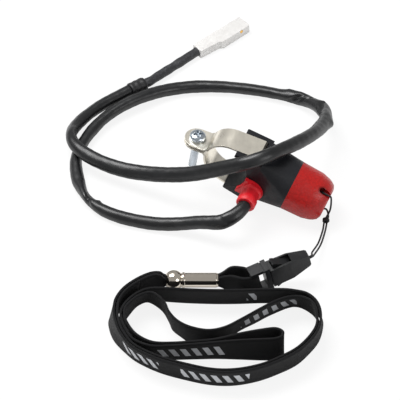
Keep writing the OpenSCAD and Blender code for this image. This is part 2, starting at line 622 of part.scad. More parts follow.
module buckle_plug() color([0.13, 0.13, 0.14]) on_buckle() {
    rail_t = 1.7;
    rail_end = strap_bar_u - strap_bar_d / 2;
    difference() {
        union() {
            // Collar, rails and bar
            translate([-mouth_gap - collar_depth, -buckle_t / 2, -collar_w / 2])
                cube([collar_depth, buckle_t, collar_w]);
            for (side = [0, 1]) mirror([0, 0, side]) {
                translate([rail_end, -buckle_t / 2 + 0.4, collar_w / 2 - rail_t])
                    cube([-rail_end - mouth_gap - 0.6, buckle_t - 0.8, rail_t]);
                rotate([90, 0, 0]) linear_extrude(buckle_t - 2 * plate_t - 2 * slide_gap, center = true)
                    prong_outline();
            }
            translate([strap_bar_u, 0, 0]) cylinder(collar_w - 1, d = strap_bar_d, center = true, $fn = 32);
        }
        // Groove between the collar and each rail
        for (side = [0, 1]) mirror([0, 0, side])
            translate([-mouth_gap - collar_depth - 0.7, -buckle_t, collar_w / 2 - 0.7])
                cube([0.7, 2 * buckle_t, 1.7]);
    }
}

module bead_slider() color([0.85, 0.85, 0.86]) translate(layout_shift + ball_at) axially() difference() {
    union() {
        sphere(d = ball_d, $fn = 48);
        cylinder(bead_len, d = tube_d, $fn = 64);
        translate([0, 0, 4.3]) cylinder(1, d = tube_d + 0.6, $fn = 64);
    }
    translate([0, 0, -ball_d]) cylinder(ball_d + bead_len + cut, d = bead_bore, $fn = 64);
    translate([0, 0, bead_len - 0.3]) cylinder(0.3 + cut, d1 = bead_bore, d2 = bead_bore + 1, $fn = 64);
}

// Strap points: middle line x and y, how far the top edge leans in x and y, lowest edge, height
laid = 0.25;
function laid_point(x, y, lean_x, lean_y) = [x, y, lean_x, lean_y, laid, strap_w];
neck_z = ball_at[2] - neck_h / 2;
neck_off = 1.02;
function neck_point(x, side) = [ball_at[0] + x, ball_at[1] + side * neck_off, 0, 0, neck_z, neck_h];
bar_at = in_buckle([strap_bar_u, 0, 0]);
bar_path_r = strap_bar_d / 2 + strap_t / 2 + slide_gap + 0.2;
bar_h = 10.8;
function round_bar(angle) = let (a = buckle_heading + angle, lean = -sin(buckle_pitch) * bar_h) [
    bar_at[0] + bar_path_r * cos(a), bar_at[1] + bar_path_r * sin(a),
    lean * cos(buckle_heading), lean * sin(buckle_heading), bar_at[2] - bar_h / 2 + 0.1, bar_h
];

// The two runs that lie side by side from the bead round the left, the front and the right
OUTER_RUN = [
    [-24, -61.6, 0.5, -0.5, laid, 12.4], [-31, -67, 1.5, -0.8, laid, 14.2],
    laid_point(-37.8, -74, 2.4, -0.5), laid_point(-41.8, -81.5, 2.8, 0),
    laid_point(-42.2, -88.5, 1.8, -0.3), laid_point(-40.8, -96, 0, 0),
    laid_point(-37.2, -103.8, -2.2, -1.6), laid_point(-31.2, -111.7, -3, -3.3),
    laid_point(-20, -119.1, -2, -4.2), laid_point(-7, -124.2, -1.4, -4.5),
    laid_point(5.5, -127.6, -0.5, -4.8), laid_point(17, -127.8, 0.4, -4.8),
    laid_point(28.6, -124.8, 1.6, -4.5), laid_point(38.6, -119.6, 2.2, -3.9),
    laid_point(47.2, -113.4, 2.5, -3), laid_point(53.8, -104.6, 2.8, -1.6), laid_point(57.1, -97, 1.4, -0.4)
];
// The run from the right side along the top, round the left and to the fold in the middle
TOP_RUN = [
    laid_point(58, -88.7, -0.8, 0), laid_point(56.8, -81.8, -3, -0.6),
    laid_point(52.6, -76.3, -2.8, -2.6), laid_point(46.4, -73.5, -1.2, -4.3),
    laid_point(40, -72.4, -0.2, -4.7), laid_point(29, -72.4, 0, -4.9), laid_point(17, -72.9, 0, -4.9),
    laid_point(5, -72.9, 0, -4.9), laid_point(-7, -72.3, 0, -4.9), laid_point(-17, -71.4, 0.2, -5),
    laid_point(-24.7, -70.8, 0.2, -6), laid_point(-30.1, -72.9, 1, -6.4),
    laid_point(-34.6, -78.1, 1.2, -5.6), laid_point(-38.2, -86.6, 1.6, -2.4),
    laid_point(-38, -94.2, 0.2, -0.6), laid_point(-34.2, -102.3, -1.8, -1.8),
    laid_point(-30.5, -107.4, -1.8, -3.4), laid_point(-23.5, -110.3, -0.4, -4.8),
    laid_point(-14, -110.5, 0, -4.6), laid_point(-3, -109.9, 0, -4.1), laid_point(8, -109.2, 0, -3.2),
    laid_point(19, -108.9, 0, -1.6), laid_point(29, -108.9, 0, -0.4), laid_point(36, -108.5, 0, 0),
    laid_point(39.4, -106.6, 0, 0), laid_point(39.5, -103.6, 0, 0), laid_point(36, -101.6, 0, 0),
    laid_point(29, -102.4, 0, -0.6), laid_point(19, -104.4, 0, -1.6), laid_point(8, -107, 0, -3.2),
    laid_point(-3, -108, 0, -4.1), laid_point(-14, -108.6, 0, -4.6),
    laid_point(-22.6, -108, -0.4, -4.6), laid_point(-28.6, -105, -1.4, -3.2),
    laid_point(-32.6, -100.6, -1.4, -1.8), laid_point(-36.5, -93.6, 0.8, -1),
    laid_point(-36.6, -86.4, 1.4, -2.4), laid_point(-33.2, -79.4, 0.6, -5.4),
    laid_point(-29.4, -74.7, 0.4, -6.6), laid_point(-24.4, -72.8, 0, -6.6),
    laid_point(-19.1, -77.3, -2.6, -3.6), laid_point(-15.7, -83.8, -2.6, -1.2),
    laid_point(-13.8, -89.5, -2.4, -1.6), laid_point(-10, -94.4, -2.1, -3.2),
    laid_point(-4.2, -99.2, -1.2, -2.6), laid_point(4, -101.8, 0, -2), laid_point(11.8, -98.9, 1.2, -3),
    laid_point(19.4, -91.7, 2.8, -4.6), laid_point(27.7, -85.6, 2.8, -4.2),
    laid_point(35.7, -79.9, 2.6, -4.5), laid_point(44.6, -75.7, -0.3, -6.5),
    laid_point(51.4, -78.1, -1.8, -4.6), laid_point(56, -84.8, -2.2, -1.8)
];
function set_in(P, i) = let (
    a = P[max(i - 1, 0)], b = P[min(i + 1, len(P) - 1)], d = unit([b[0] - a[0], b[1] - a[1]])
)
    sum2(P[i], [-d[1] * layer_pitch, d[0] * layer_pitch, 0, 0, 0, 0]);
BEAD_STEPS = [bead_len - 1.4, 14, 7, 0, -4];
STRAP_ROUTE = concat(
    [round_bar(90), [20.6, -59.6, 0, 0, 1.4, 12.5], [15, -59, 0, 0, 1, 12.6], [10.8, -58.9, 0, 0, 1.8, 7.8]],
    [for (x = BEAD_STEPS) neck_point(x, 1)],
    [[-19, -59.2, 0, 0, laid, 10]], OUTER_RUN, TOP_RUN,
    [for (i = [len(OUTER_RUN) - 1 : -1 : 0]) set_in(OUTER_RUN, i)], [[-19, -61.1, 0, 0, laid, 10]],
    [for (i = [len(BEAD_STEPS) - 1 : -1 : 0]) neck_point(BEAD_STEPS[i], -1)],
    [[10.8, -60.9, 0, 0, 1.8, 7], [15, -63.4, 0, 0, 1, 11], [20.8, -66.4, 0, 0, 1.2, 12.2]],
    [round_bar(-90), round_bar(-45), round_bar(0), round_bar(45)]
);

// The strap is one woven band swept along its closed route
module lanyard_strap() color([0.07, 0.07, 0.07]) {
    P = smooth_closed(STRAP_ROUTE, 3);
    n = len(P);
    corners = [
        for (i = [0 : n - 1]) let (
            p = P[i], a = P[(i + n - 1) % n], b = P[(i + 1) % n],
            rise = [p[2], p[3], sqrt(p[5] * p[5] - p[2] * p[2] - p[3] * p[3])] / 2,
            mid = [p[0], p[1], p[4] + rise[2]],
            out = unit(cross([b[0] - a[0], b[1] - a[1], 0], rise)) * (strap_t + (strap_w - p[5]) * 0.07) / 2
        ) each [mid - rise - out, mid - rise + out, mid + rise + out, mid + rise - out]
    ];
    translate(layout_shift) polyhedron(corners, [
        for (i = [0 : n - 1], k = [0 : 3]) let (here = i * 4, next = ((i + 1) % n) * 4, m = (k + 1) % 4)
            [here + k, here + m, next + m, next + k]
    ]);
}

switch_housing();
front_insert();
keeper_ring();
reed_carrier();
reed_capsule();
reed_leads();
signal_wire();
return_wire();
clamp_band();
clamp_screw();
cable_gland();
switch_cable();
sleeve_collar();
lead_sleeve();
connector_housing();
connector_terminals();
cap_shell();
cap_magnet();
magnet_backing();
tether_cord();
buckle_socket();
buckle_plug();
bead_slider();
lanyard_strap();
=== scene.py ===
"""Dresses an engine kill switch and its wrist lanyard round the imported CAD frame."""

import math

import bmesh
import bpy
import numpy as np
from bpy.props import FloatProperty, FloatVectorProperty, PointerProperty
from mathutils import Matrix


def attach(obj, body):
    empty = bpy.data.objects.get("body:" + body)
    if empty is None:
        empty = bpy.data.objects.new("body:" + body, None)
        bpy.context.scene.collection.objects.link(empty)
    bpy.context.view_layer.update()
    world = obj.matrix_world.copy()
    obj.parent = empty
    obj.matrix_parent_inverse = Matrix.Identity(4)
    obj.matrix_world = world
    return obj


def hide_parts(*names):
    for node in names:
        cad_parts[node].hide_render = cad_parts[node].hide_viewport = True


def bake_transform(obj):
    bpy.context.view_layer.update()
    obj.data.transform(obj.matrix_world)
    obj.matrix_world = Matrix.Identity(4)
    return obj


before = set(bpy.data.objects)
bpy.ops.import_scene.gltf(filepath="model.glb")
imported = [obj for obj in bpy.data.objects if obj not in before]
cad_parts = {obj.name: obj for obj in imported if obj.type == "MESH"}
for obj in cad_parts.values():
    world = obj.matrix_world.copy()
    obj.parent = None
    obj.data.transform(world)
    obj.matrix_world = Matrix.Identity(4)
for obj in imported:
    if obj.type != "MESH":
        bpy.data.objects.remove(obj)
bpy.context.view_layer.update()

bl_info = {
    "name": "Kill switch and lanyard",
    "version": (1, 0, 0),
    "blender": (4, 2, 0),
    "location": "3D View > Sidebar > Kill switch",
    "description": "Builds the visible pieces of a magnetic kill switch, its lead and its wrist lanyard",
    "category": "Object",
}

# The layout's place in the part's frame, and the switch's and the buckle's places in the layout
LAYOUT = np.array([-0.010334, 0.05652, 0.000057])
SWITCH_AT = np.array([0.0151, 0.0057, 0.026])
BUCKLE_AT = np.array([0.0336, -0.0603, 0.0099])

CABLE_ROUTE = [
    [0.0202, -0.022, 0.0156], [0.0181, -0.0244, 0.0152], [0.0155, -0.0262, 0.0145], [0.0126, -0.0273, 0.0135],
    [0.0094, -0.0277, 0.0123], [0, -0.0242, 0.009], [-0.008, -0.0221, 0.006], [-0.016, -0.0205, 0.004],
    [-0.0246, -0.0189, 0.0032], [-0.0362, -0.0157, 0.0032], [-0.0449, -0.0115, 0.0032],
    [-0.0512, -0.0065, 0.0032], [-0.0556, -0.0002, 0.0032], [-0.0585, 0.0081, 0.0032], [-0.0598, 0.016, 0.0032],
    [-0.0601, 0.0238, 0.0032], [-0.0587, 0.031, 0.0032], [-0.056, 0.0377, 0.0032], [-0.0521, 0.0448, 0.0034],
    [-0.0471, 0.0516, 0.0038], [-0.0412, 0.0572, 0.0044], [-0.0343, 0.0621, 0.005], [-0.0272, 0.0663, 0.0049],
    [-0.019, 0.0707, 0.004], [-0.0096, 0.0737, 0.0033], [0, 0.0749, 0.0032], [0.014, 0.0744, 0.0032],
    [0.0289, 0.072, 0.0032], [0.0399, 0.0689, 0.0033], [0.0483, 0.0656, 0.0042], [0.0547, 0.06, 0.0062],
    [0.0595, 0.0519, 0.01], [0.0609, 0.0425, 0.014], [0.0589, 0.0323, 0.0185], [0.0547, 0.0213, 0.0239],
    [0.0476, 0.0094, 0.0301], [0.0402, 0, 0.0347], [0.0327, -0.0072, 0.0374], [0.0235, -0.0103, 0.0361],
    [0.0142, -0.0086, 0.0314], [0.0046, -0.006, 0.0258], [-0.0048, -0.0028, 0.0205], [-0.0145, 0.0011, 0.0161],
    [-0.025, 0.0058, 0.0122], [-0.0362, 0.0108, 0.0096], [-0.0463, 0.0158, 0.0091], [-0.055, 0.0217, 0.0094],
    [-0.0608, 0.0288, 0.0094], [-0.0625, 0.0363, 0.008], [-0.0612, 0.0433, 0.0058], [-0.0577, 0.0505, 0.0041],
    [-0.054, 0.0557, 0.0034], [-0.0493, 0.0606, 0.0032], [-0.0448, 0.0643, 0.0032], [-0.0395, 0.0679, 0.0033],
]
# Width of the sleeving as seen at each point of the route: wide where it lies flat, narrow where it folds
CABLE_WIDTHS = [
    0.00676, 0.00676, 0.00725, 0.00749, 0.00725, 0.00657, 0.00657, 0.00657, 0.00657, 0.0064, 0.00616, 0.00471,
    0.00399, 0.0064, 0.0064, 0.00568, 0.00556, 0.00543, 0.0058, 0.00543, 0.0056, 0.0058, 0.00594, 0.00609,
    0.00609, 0.00609, 0.0056, 0.0056, 0.00519, 0.00676, 0.00543, 0.007, 0.0058, 0.007, 0.00652, 0.007, 0.00686,
    0.00676, 0.00691, 0.00725, 0.00739, 0.00749, 0.00749, 0.00749, 0.00749, 0.00713, 0.00688, 0.00604, 0.00519,
    0.00599, 0.00599, 0.00568, 0.0058, 0.00599, 0.00609,
]
# Corners of the sleeving: route point, flank, size, reach. Creases: route point, slant, depth, reach.
CORNERS = [(10.8, 1, 0.0009, 0.0016), (28.3, -1, 0.0009, 0.003), (30.6, -1, 0.0008, 0.003), (32.4, -1, 0.0017, 0.0035)]
CREASES = [
    (11.3, 0.002, 0.0012, 0.0016), (28.9, -0.004, 0.0016, 0.0015), (29.4, -0.005, 0.0009, 0.001),
    (31.1, 0.004, 0.0013, 0.0022), (3.2, 0.002, 0.0004, 0.0012),
]
COLLAR_AT = np.array([-0.034, 0.0718, 0.0034])
LEAD_HEADING = math.radians(34)
LEAD_ROUTE = [[-0.0204, 0.0826, 0.0027], [-0.0142, 0.0882, 0.0026], [-0.0079, 0.0939, 0.0026]]
PLUG_AT = np.array([-0.0015, 0.0998, 0.0001])
PLUG_HEADING = math.radians(40)
COLLAR_LENGTH = 0.0084
PLUG_HEIGHT = 0.005

# Strap points: middle line x and y, lean of the top edge in x and y, lowest edge, height
OUTER_RUN = [
    [-0.024, -0.0616, 0.0005, -0.0005, 0.00025, 0.0124], [-0.031, -0.067, 0.0015, -0.0008, 0.00025, 0.0142],
    [-0.0378, -0.074, 0.0024, -0.0005], [-0.0418, -0.0815, 0.0028, 0], [-0.0422, -0.0885, 0.0018, -0.0003],
    [-0.0408, -0.096, 0, 0], [-0.0372, -0.1038, -0.0022, -0.0016], [-0.0312, -0.1117, -0.003, -0.0033],
    [-0.02, -0.1191, -0.002, -0.0042], [-0.007, -0.1242, -0.0014, -0.0045], [0.0055, -0.1276, -0.0005, -0.0048],
    [0.017, -0.1278, 0.0004, -0.0048], [0.0286, -0.1248, 0.0016, -0.0045], [0.0386, -0.1196, 0.0022, -0.0039],
    [0.0472, -0.1134, 0.0025, -0.003], [0.0538, -0.1046, 0.0028, -0.0016], [0.0571, -0.097, 0.0014, -0.0004],
]
TOP_RUN = [
    [0.058, -0.0887, -0.0008, 0], [0.0568, -0.0818, -0.003, -0.0006], [0.0526, -0.0763, -0.0028, -0.0026],
    [0.0464, -0.0735, -0.0012, -0.0043], [0.04, -0.0724, -0.0002, -0.0047], [0.029, -0.0724, 0, -0.0049],
    [0.017, -0.0729, 0, -0.0049], [0.005, -0.0729, 0, -0.0049], [-0.007, -0.0723, 0, -0.0049],
    [-0.017, -0.0714, 0.0002, -0.005], [-0.0247, -0.0708, 0.0002, -0.006], [-0.0301, -0.0729, 0.001, -0.0064],
    [-0.0346, -0.0781, 0.0012, -0.0056], [-0.0382, -0.0866, 0.0016, -0.0024],
    [-0.038, -0.0942, 0.0002, -0.0006], [-0.0342, -0.1023, -0.0018, -0.0018],
    [-0.0305, -0.1074, -0.0018, -0.0034], [-0.0235, -0.1103, -0.0004, -0.0048], [-0.014, -0.1105, 0, -0.0046],
    [-0.003, -0.1099, 0, -0.0041], [0.008, -0.1092, 0, -0.0032], [0.019, -0.1089, 0, -0.0016],
    [0.029, -0.1089, 0, -0.0004], [0.036, -0.1085, 0, 0], [0.0394, -0.1066, 0, 0], [0.0395, -0.1036, 0, 0],
    [0.036, -0.1016, 0, 0], [0.029, -0.1024, 0, -0.0006], [0.019, -0.1044, 0, -0.0016],
    [0.008, -0.107, 0, -0.0032], [-0.003, -0.108, 0, -0.0041], [-0.014, -0.1086, 0, -0.0046],
    [-0.0226, -0.108, -0.0004, -0.0046], [-0.0286, -0.105, -0.0014, -0.0032],
    [-0.0326, -0.1006, -0.0014, -0.0018], [-0.0365, -0.0936, 0.0008, -0.001],
    [-0.0366, -0.0864, 0.0014, -0.0024], [-0.0332, -0.0794, 0.0006, -0.0054],
    [-0.0294, -0.0747, 0.0004, -0.0066], [-0.0244, -0.0728, 0, -0.0066], [-0.0191, -0.0773, -0.0026, -0.0036],
    [-0.0157, -0.0838, -0.0026, -0.0012], [-0.0138, -0.0895, -0.0024, -0.0016],
    [-0.01, -0.0944, -0.0021, -0.0032], [-0.0042, -0.0992, -0.0012, -0.0026], [0.004, -0.1018, 0, -0.002],
    [0.0118, -0.0989, 0.0012, -0.003], [0.0194, -0.0917, 0.0028, -0.0046], [0.0277, -0.0856, 0.0028, -0.0042],
    [0.0357, -0.0799, 0.0026, -0.0045], [0.0446, -0.0757, -0.0003, -0.0065],
    [0.0514, -0.0781, -0.0018, -0.0046], [0.056, -0.0848, -0.0022, -0.0018],
]
# Stretches of the strap that carry printed bars, from one route point to another
PRINTED = [(16.2, 18.1), (18.8, 21.6), (32.1, 32.6), (44.2, 47.4), (74, 77.3)]
BEAD_AT = np.array([-0.0126, -0.0595, 0.005])
STRAP_WIDTH = 0.015
LAYER_PITCH = 0.0017


def srgb(red, green, blue):
    """Linear colour of an 8-bit screen colour: each channel c/255, to the power 2.4 above its short straight start."""
    c = np.array([red, green, blue]) / 255
    return tuple(np.where(c <= 0.04045, c / 12.92, ((c + 0.055) / 1.055) ** 2.4))


def unit(v):
    """Each vector over its own length."""
    return v / np.linalg.norm(v, axis=-1, keepdims=True)


def turn_about(axis, angle):
    """Rotation matrix for a turn by angle about Y or Z: cosine and sine in the two rows that the axis leaves free."""
    c, s = math.cos(angle), math.sin(angle)
    return np.array([[c, 0, s], [0, 1, 0], [-s, 0, c]]) if axis == "Y" else np.array([[c, -s, 0], [s, c, 0], [0, 0, 1]])


SWITCH_AXES = turn_about("Z", math.radians(-20)) @ turn_about("Y", math.radians(19))
BUCKLE_AXES = turn_about("Z", math.radians(22)) @ turn_about("Y", math.radians(-11))


def in_switch(points):
    """Points given along the switch's axis, along the bar and up, put in the part's frame."""
    return LAYOUT + SWITCH_AT + np.asarray(points) @ SWITCH_AXES.T


def in_buckle(points):
    """Points given along the buckle, through it and across it, put in the part's frame."""
    return LAYOUT + BUCKLE_AT + np.asarray(points) @ BUCKLE_AXES.T


def smooth_line(points, steps, closed=False):
    """Cubic through the points: between each two, half of 2p1 + (p2-p0)u + (2p0-5p1+4p2-p3)u2 + (3p1-p0-3p2+p3)u3."""
    p = np.asarray(points, float)
    if closed:
        p0, p1, p2, p3 = np.roll(p, 1, 0), p, np.roll(p, -1, 0), np.roll(p, -2, 0)
    else:
        e = np.vstack([2 * p[0] - p[1], p, 2 * p[-1] - p[-2]])
        p0, p1, p2, p3 = e[:-3], e[1:-2], e[2:-1], e[3:]
    u = (np.arange(steps) / steps)[None, :, None]
    p0, p1, p2, p3 = (q[:, None, :] for q in (p0, p1, p2, p3))
    line = 0.5 * (2 * p1 + (p2 - p0) * u + (2 * p0 - 5 * p1 + 4 * p2 - p3) * u**2 + (3 * p1 - p0 - 3 * p2 + p3) * u**3)
    line = line.reshape(-1, p.shape[1])
    return line if closed else np.vstack([line, p[-1:]])


def run_length(line, closed=False):
    """Distance along the line from its start to each point, and back to the start where it is closed."""
    ends = np.vstack([line, line[:1]]) if closed else line
    return np.concatenate([[0], np.cumsum(np.linalg.norm(np.diff(ends[:, :3], axis=0), axis=1))])


def spaced(line, step):
    """The same line with its points a step apart: each coordinate read off against the distance along the line."""
    at = run_length(line)
    even = np.linspace(0, at[-1], max(2, int(round(at[-1] / step)) + 1))
    return np.stack([np.interp(even, at, line[:, k]) for k in range(line.shape[1])], 1)


def skin(name, grid, along, around, closed=False, wrap=True, caps=True):
    """Mesh over a grid of points, row by row along a run and column by column round it, with its own UV map in metres.

    Quad (i, j) joins rows i and i+1 and columns j and j+1; its UV corners are along[i], around[j] and so on.
    """
    n, m = grid.shape[:2]
    i, j = np.meshgrid(np.arange(n if closed else n - 1), np.arange(m if wrap else m - 1), indexing="ij")
    i2, j2 = (i + 1) % n, (j + 1) % m
    quads = np.stack([i * m + j, i2 * m + j, i2 * m + j2, i * m + j2], -1).reshape(-1, 4)
    u0, u1, v0, v1 = along[i], along[i + 1], around[j], around[j + 1]
    uv = np.stack([u0, v0, u1, v0, u1, v1, u0, v1], -1).reshape(-1, 2)
    faces = quads.tolist()
    if caps and wrap and not closed:
        ends = [np.arange(m), np.arange(n * m - 1, (n - 1) * m - 1, -1)]
        faces += [e.tolist() for e in ends]
        uv = np.vstack([uv, np.stack([np.full(m, along[0]), around[:m]], 1), np.stack([np.full(m, along[-1]), around[:m]], 1)])
    mesh = bpy.data.meshes.new(name)
    mesh.from_pydata(grid.reshape(-1, 3), [], faces)
    mesh.uv_layers.new(name="UVMap").data.foreach_set("uv", uv.astype(np.float32).ravel())
    mesh.shade_smooth()
    piece = bpy.data.objects.new(name, mesh)
    bpy.context.scene.collection.objects.link(piece)
    return piece


def beside(line, up):
    """Unit directions to the right of the line and up from it: along x up, and right x along."""
    along = unit(np.gradient(line, axis=0))
    right = unit(np.cross(along, np.broadcast_to(up, line.shape)))
    return right, np.cross(right, along)


def tube(name, line, width, height, sides, up=(0, 0, 1)):
    """Round or oval tube along a line: line + width/2 cos(t) right + height/2 sin(t) up, t going once round."""
    right, lift = beside(line, up)
    t = np.arange(sides) / sides * 2 * np.pi
    across = (np.broadcast_to(width, len(line)) / 2)[:, None, None] * np.cos(t)[None, :, None]
    upward = (np.broadcast_to(height, len(line)) / 2)[:, None, None] * np.sin(t)[None, :, None]
    grid = line[:, None, :] + across * right[:, None, :] + upward * lift[:, None, :]
    around = np.arange(sides + 1) / sides * np.mean(width) * np.pi
    return skin(name, grid, run_length(line), around)


def lathe(name, profile, origin, axes, sides=96):
    """Turned shape: each profile point (a, r) goes once round the axis, as origin + a e1 + r (cos(t) e2 + sin(t) e3)."""
    profile = np.asarray(profile, float)
    t = np.arange(sides) / sides * 2 * np.pi
    ring = np.cos(t)[:, None] * axes[1] + np.sin(t)[:, None] * axes[2]
    grid = origin + profile[:, None, :1] * axes[0] + profile[:, None, 1:] * ring[None, :, :]
    return skin(name, grid, run_length(profile), np.arange(sides + 1) / sides * 0.03, caps=False)


def eased(profile, radius, steps=4):
    """The profile with each inner corner cut to a short curve: the corner's two cut points joined by a quadratic."""
    p = np.asarray(profile, float)
    before, after = p[:-2] - p[1:-1], p[2:] - p[1:-1]
    lb, la = np.linalg.norm(before, axis=1), np.linalg.norm(after, axis=1)
    cut = np.minimum(radius, 0.45 * np.minimum(lb, la))
    a, b = p[1:-1] + before * (cut / lb)[:, None], p[1:-1] + after * (cut / la)[:, None]
    u = np.linspace(0, 1, steps)[None, :, None]
    curve = (1 - u) ** 2 * a[:, None] + 2 * u * (1 - u) * p[1:-1][:, None] + u**2 * b[:, None]
    return np.vstack([p[:1], curve.reshape(-1, 2), p[-1:]])


def worn_copy(node, name, easing=0.0002, corner=38):
    """Copy of a node's mesh with its doubles merged and its flats joined, its sharp edges eased by a small bevel."""
    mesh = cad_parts[node].data.copy()
    mesh.name = name
    shape = bmesh.new()
    shape.from_mesh(mesh)
    bmesh.ops.remove_doubles(shape, verts=shape.verts, dist=2e-6)
    bmesh.ops.dissolve_limit(shape, angle_limit=math.radians(0.4), verts=shape.verts, edges=shape.edges)
    shape.to_mesh(mesh)
    shape.free()
    mesh.materials.clear()
    mesh.shade_smooth()
    mesh.set_sharp_from_angle(angle=math.radians(corner))
    piece = bpy.data.objects.new(name, mesh)
    bpy.context.scene.collection.objects.link(piece)
    if easing:
        bevel = piece.modifiers.new("Eased edges", "BEVEL")
        bevel.width = easing
        bevel.segments = 2
        bevel.limit_method = "ANGLE"
        bevel.angle_limit = math.radians(corner)
        bevel.harden_normals = True
    return piece


def finish_piece(piece, material, body, slot, *nodes):
    """Gives a piece its material and its body, and lets it stand for the nodes that it shows. The slot is not used."""
    piece.data.materials.append(material)
    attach(piece, body)
    if nodes:
        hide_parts(*nodes)
    return piece


class Finish:
    """A material's nodes, with short calls for those that the finishes below share."""

    def __init__(self, name, colour, roughness, metal=0.0, specular=0.5):
        self.material = bpy.data.materials.new(name)
        self.material.use_nodes = True
        self.tree = self.material.node_tree
        self.shader = self.tree.nodes["Principled BSDF"]
        self.shader.inputs["Base Color"].default_value = (*colour, 1)
        self.shader.inputs["Roughness"].default_value = roughness
        self.shader.inputs["Metallic"].default_value = metal
        self.shader.inputs["Specular IOR Level"].default_value = specular
        self.material.diffuse_color = (*colour, 1)

    def node(self, kind, **values):
        """A node of that kind; values are its settings, and _0, _1 and so on its inputs, linked or set."""
        node = self.tree.nodes.new(kind)
        for key, value in values.items():
            if key.startswith("_"):
                self.feed(node.inputs[int(key[1:])], value)
            else:
                setattr(node, key, value)
        return node

    def feed(self, socket, value):
        """Links an output to the socket, or sets it to a number or a colour."""
        if isinstance(value, bpy.types.NodeSocket):
            self.tree.links.new(value, socket)
        elif hasattr(value, "__len__") and len(value) == 3 and socket.type == "RGBA":
            socket.default_value = (*value, 1)
        else:
            socket.default_value = value

    def place(self, kind="Object", scale=(1, 1, 1), turn=(0, 0, 0)):
        """Coordinates on the piece, turned and scaled."""
        mapping = self.node("ShaderNodeMapping")
        mapping.inputs["Scale"].default_value = scale
        mapping.inputs["Rotation"].default_value = turn
        self.tree.links.new(self.node("ShaderNodeTexCoord").outputs[kind], mapping.inputs["Vector"])
        return mapping.outputs["Vector"]

    def noise(self, size, detail=2.0, where=None, spread=0.5):
        """Noise with lumps of that size, in metres."""
        node = self.node("ShaderNodeTexNoise")
        node.inputs["Scale"].default_value = 1 / size
        node.inputs["Detail"].default_value = detail
        node.inputs["Roughness"].default_value = spread
        self.tree.links.new(where or self.place(), node.inputs["Vector"])
        return node.outputs["Fac"]

    def math(self, operation, a, b=0.0, clamp=False):
        """One arithmetic step on two values."""
        return self.node("ShaderNodeMath", operation=operation, use_clamp=clamp, _0=a, _1=b).outputs[0]

    def ranged(self, value, low, high, to_low, to_high):
        """The value's range low to high, moved to another range and held inside it."""
        node = self.node("ShaderNodeMapRange")
        for key, v in zip((0, 1, 2, 3, 4), (value, low, high, to_low, to_high)):
            self.feed(node.inputs[key], v)
        return node.outputs[0]

    def mixed(self, share, a, b):
        """Colour a, going to colour b as share goes from 0 to 1."""
        node = self.node("ShaderNodeMix", data_type="RGBA", clamp_factor=True)
        self.feed(node.inputs[0], share)
        self.feed(node.inputs[6], a)
        self.feed(node.inputs[7], b)
        return node.outputs[2]

    def colour(self, value):
        """Sets the shader's colour."""
        self.feed(self.shader.inputs["Base Color"], value)

    def rough(self, value):
        """Sets the shader's roughness."""
        self.feed(self.shader.inputs["Roughness"], value)

    def relief(self, height, depth, under=None):
        """Bump from a height of 0 to 1, depth metres deep, over another bump."""
        node = self.node("ShaderNodeBump")
        node.inputs["Distance"].default_value = depth
        self.tree.links.new(height, node.inputs["Height"])
        if under is not None:
            self.tree.links.new(under, node.inputs["Normal"])
        self.tree.links.new(node.outputs[0], self.shader.inputs["Normal"])
        return node.outputs[0]


def shade(colour, share):
    """The colour, darker or paler by a share."""
    return tuple(min(1.0, c * share) for c in colour)


def moulded_plastic(name, colour, roughness=0.45, grain=0.00025, depth=0.00002):
    """Moulded plastic: fine spark grain, slow changes of tone and gloss from handling."""
    f = Finish(name, colour, roughness, specular=0.3)
    f.colour(f.mixed(f.ranged(f.noise(0.006, 3), 0.35, 0.7, 0, 1), shade(colour, 0.88), shade(colour, 1.14)))
    f.rough(f.ranged(f.noise(0.004, 4), 0.3, 0.7, roughness - 0.07, roughness + 0.08))
    low = f.relief(f.noise(0.0035, 1), 0.00006)
    f.relief(f.noise(grain, 3, spread=0.6), depth, low)
    return f.material


def cap_grain(name, colour, eye, way):
    """Leathery moulded skin: small cells with soft valleys, and painted shade round the cord's eye, standing in for the
    shade in its recess.

    The painted shade's share falls from 0.85 to 0 between 1.6 and 2.6 mm from the line through the eye along way.
    """
    f = Finish(name, colour, 0.32, specular=0.32)
    cells = f.node("ShaderNodeTexVoronoi", feature="SMOOTH_F1", _0=f.place())
    cells.inputs["Scale"].default_value = 1 / 0.0011
    height = f.math("ADD", cells.outputs["Distance"], f.math("MULTIPLY", f.noise(0.0005, 3), 0.6))
    tone = f.ranged(f.noise(0.005, 3), 0.35, 0.7, 0, 1)
    skin_tone = f.mixed(tone, shade(colour, 0.93), shade(colour, 1.1))
    skin_tone = f.mixed(f.ranged(height, 0.5, 1.0, 0, 1), skin_tone, shade(colour, 0.8))
    from_eye = f.node("ShaderNodeVectorMath", operation="SUBTRACT", _0=f.place(), _1=tuple(eye)).outputs[0]
    off = f.node("ShaderNodeVectorMath", operation="CROSS_PRODUCT", _0=from_eye, _1=tuple(way)).outputs[0]
    reach = f.node("ShaderNodeVectorMath", operation="LENGTH", _0=off).outputs["Value"]
    # Painted shade: within 1.6 mm of the line through the eye the colour goes towards a quarter of the cap's colour,
    # standing in for the shade in the eye's recess
    f.colour(f.mixed(f.ranged(reach, 0.0016, 0.0026, 0.85, 0), skin_tone, shade(colour, 0.25)))
    f.rough(f.ranged(f.noise(0.002, 4), 0.3, 0.7, 0.27, 0.42))
    f.relief(height, 0.00012)
    return f.material


def soft_rubber(name, colour):
    """Moulded rubber: matt skin with faint flow marks."""
    f = Finish(name, colour, 0.42)
    f.colour(f.mixed(f.ranged(f.noise(0.003, 3), 0.3, 0.7, 0, 1), shade(colour, 0.82), shade(colour, 1.08)))
    f.rough(f.ranged(f.noise(0.002, 3), 0.3, 0.7, 0.34, 0.52))
    f.relief(f.noise(0.0006, 3), 0.00003)
    return f.material


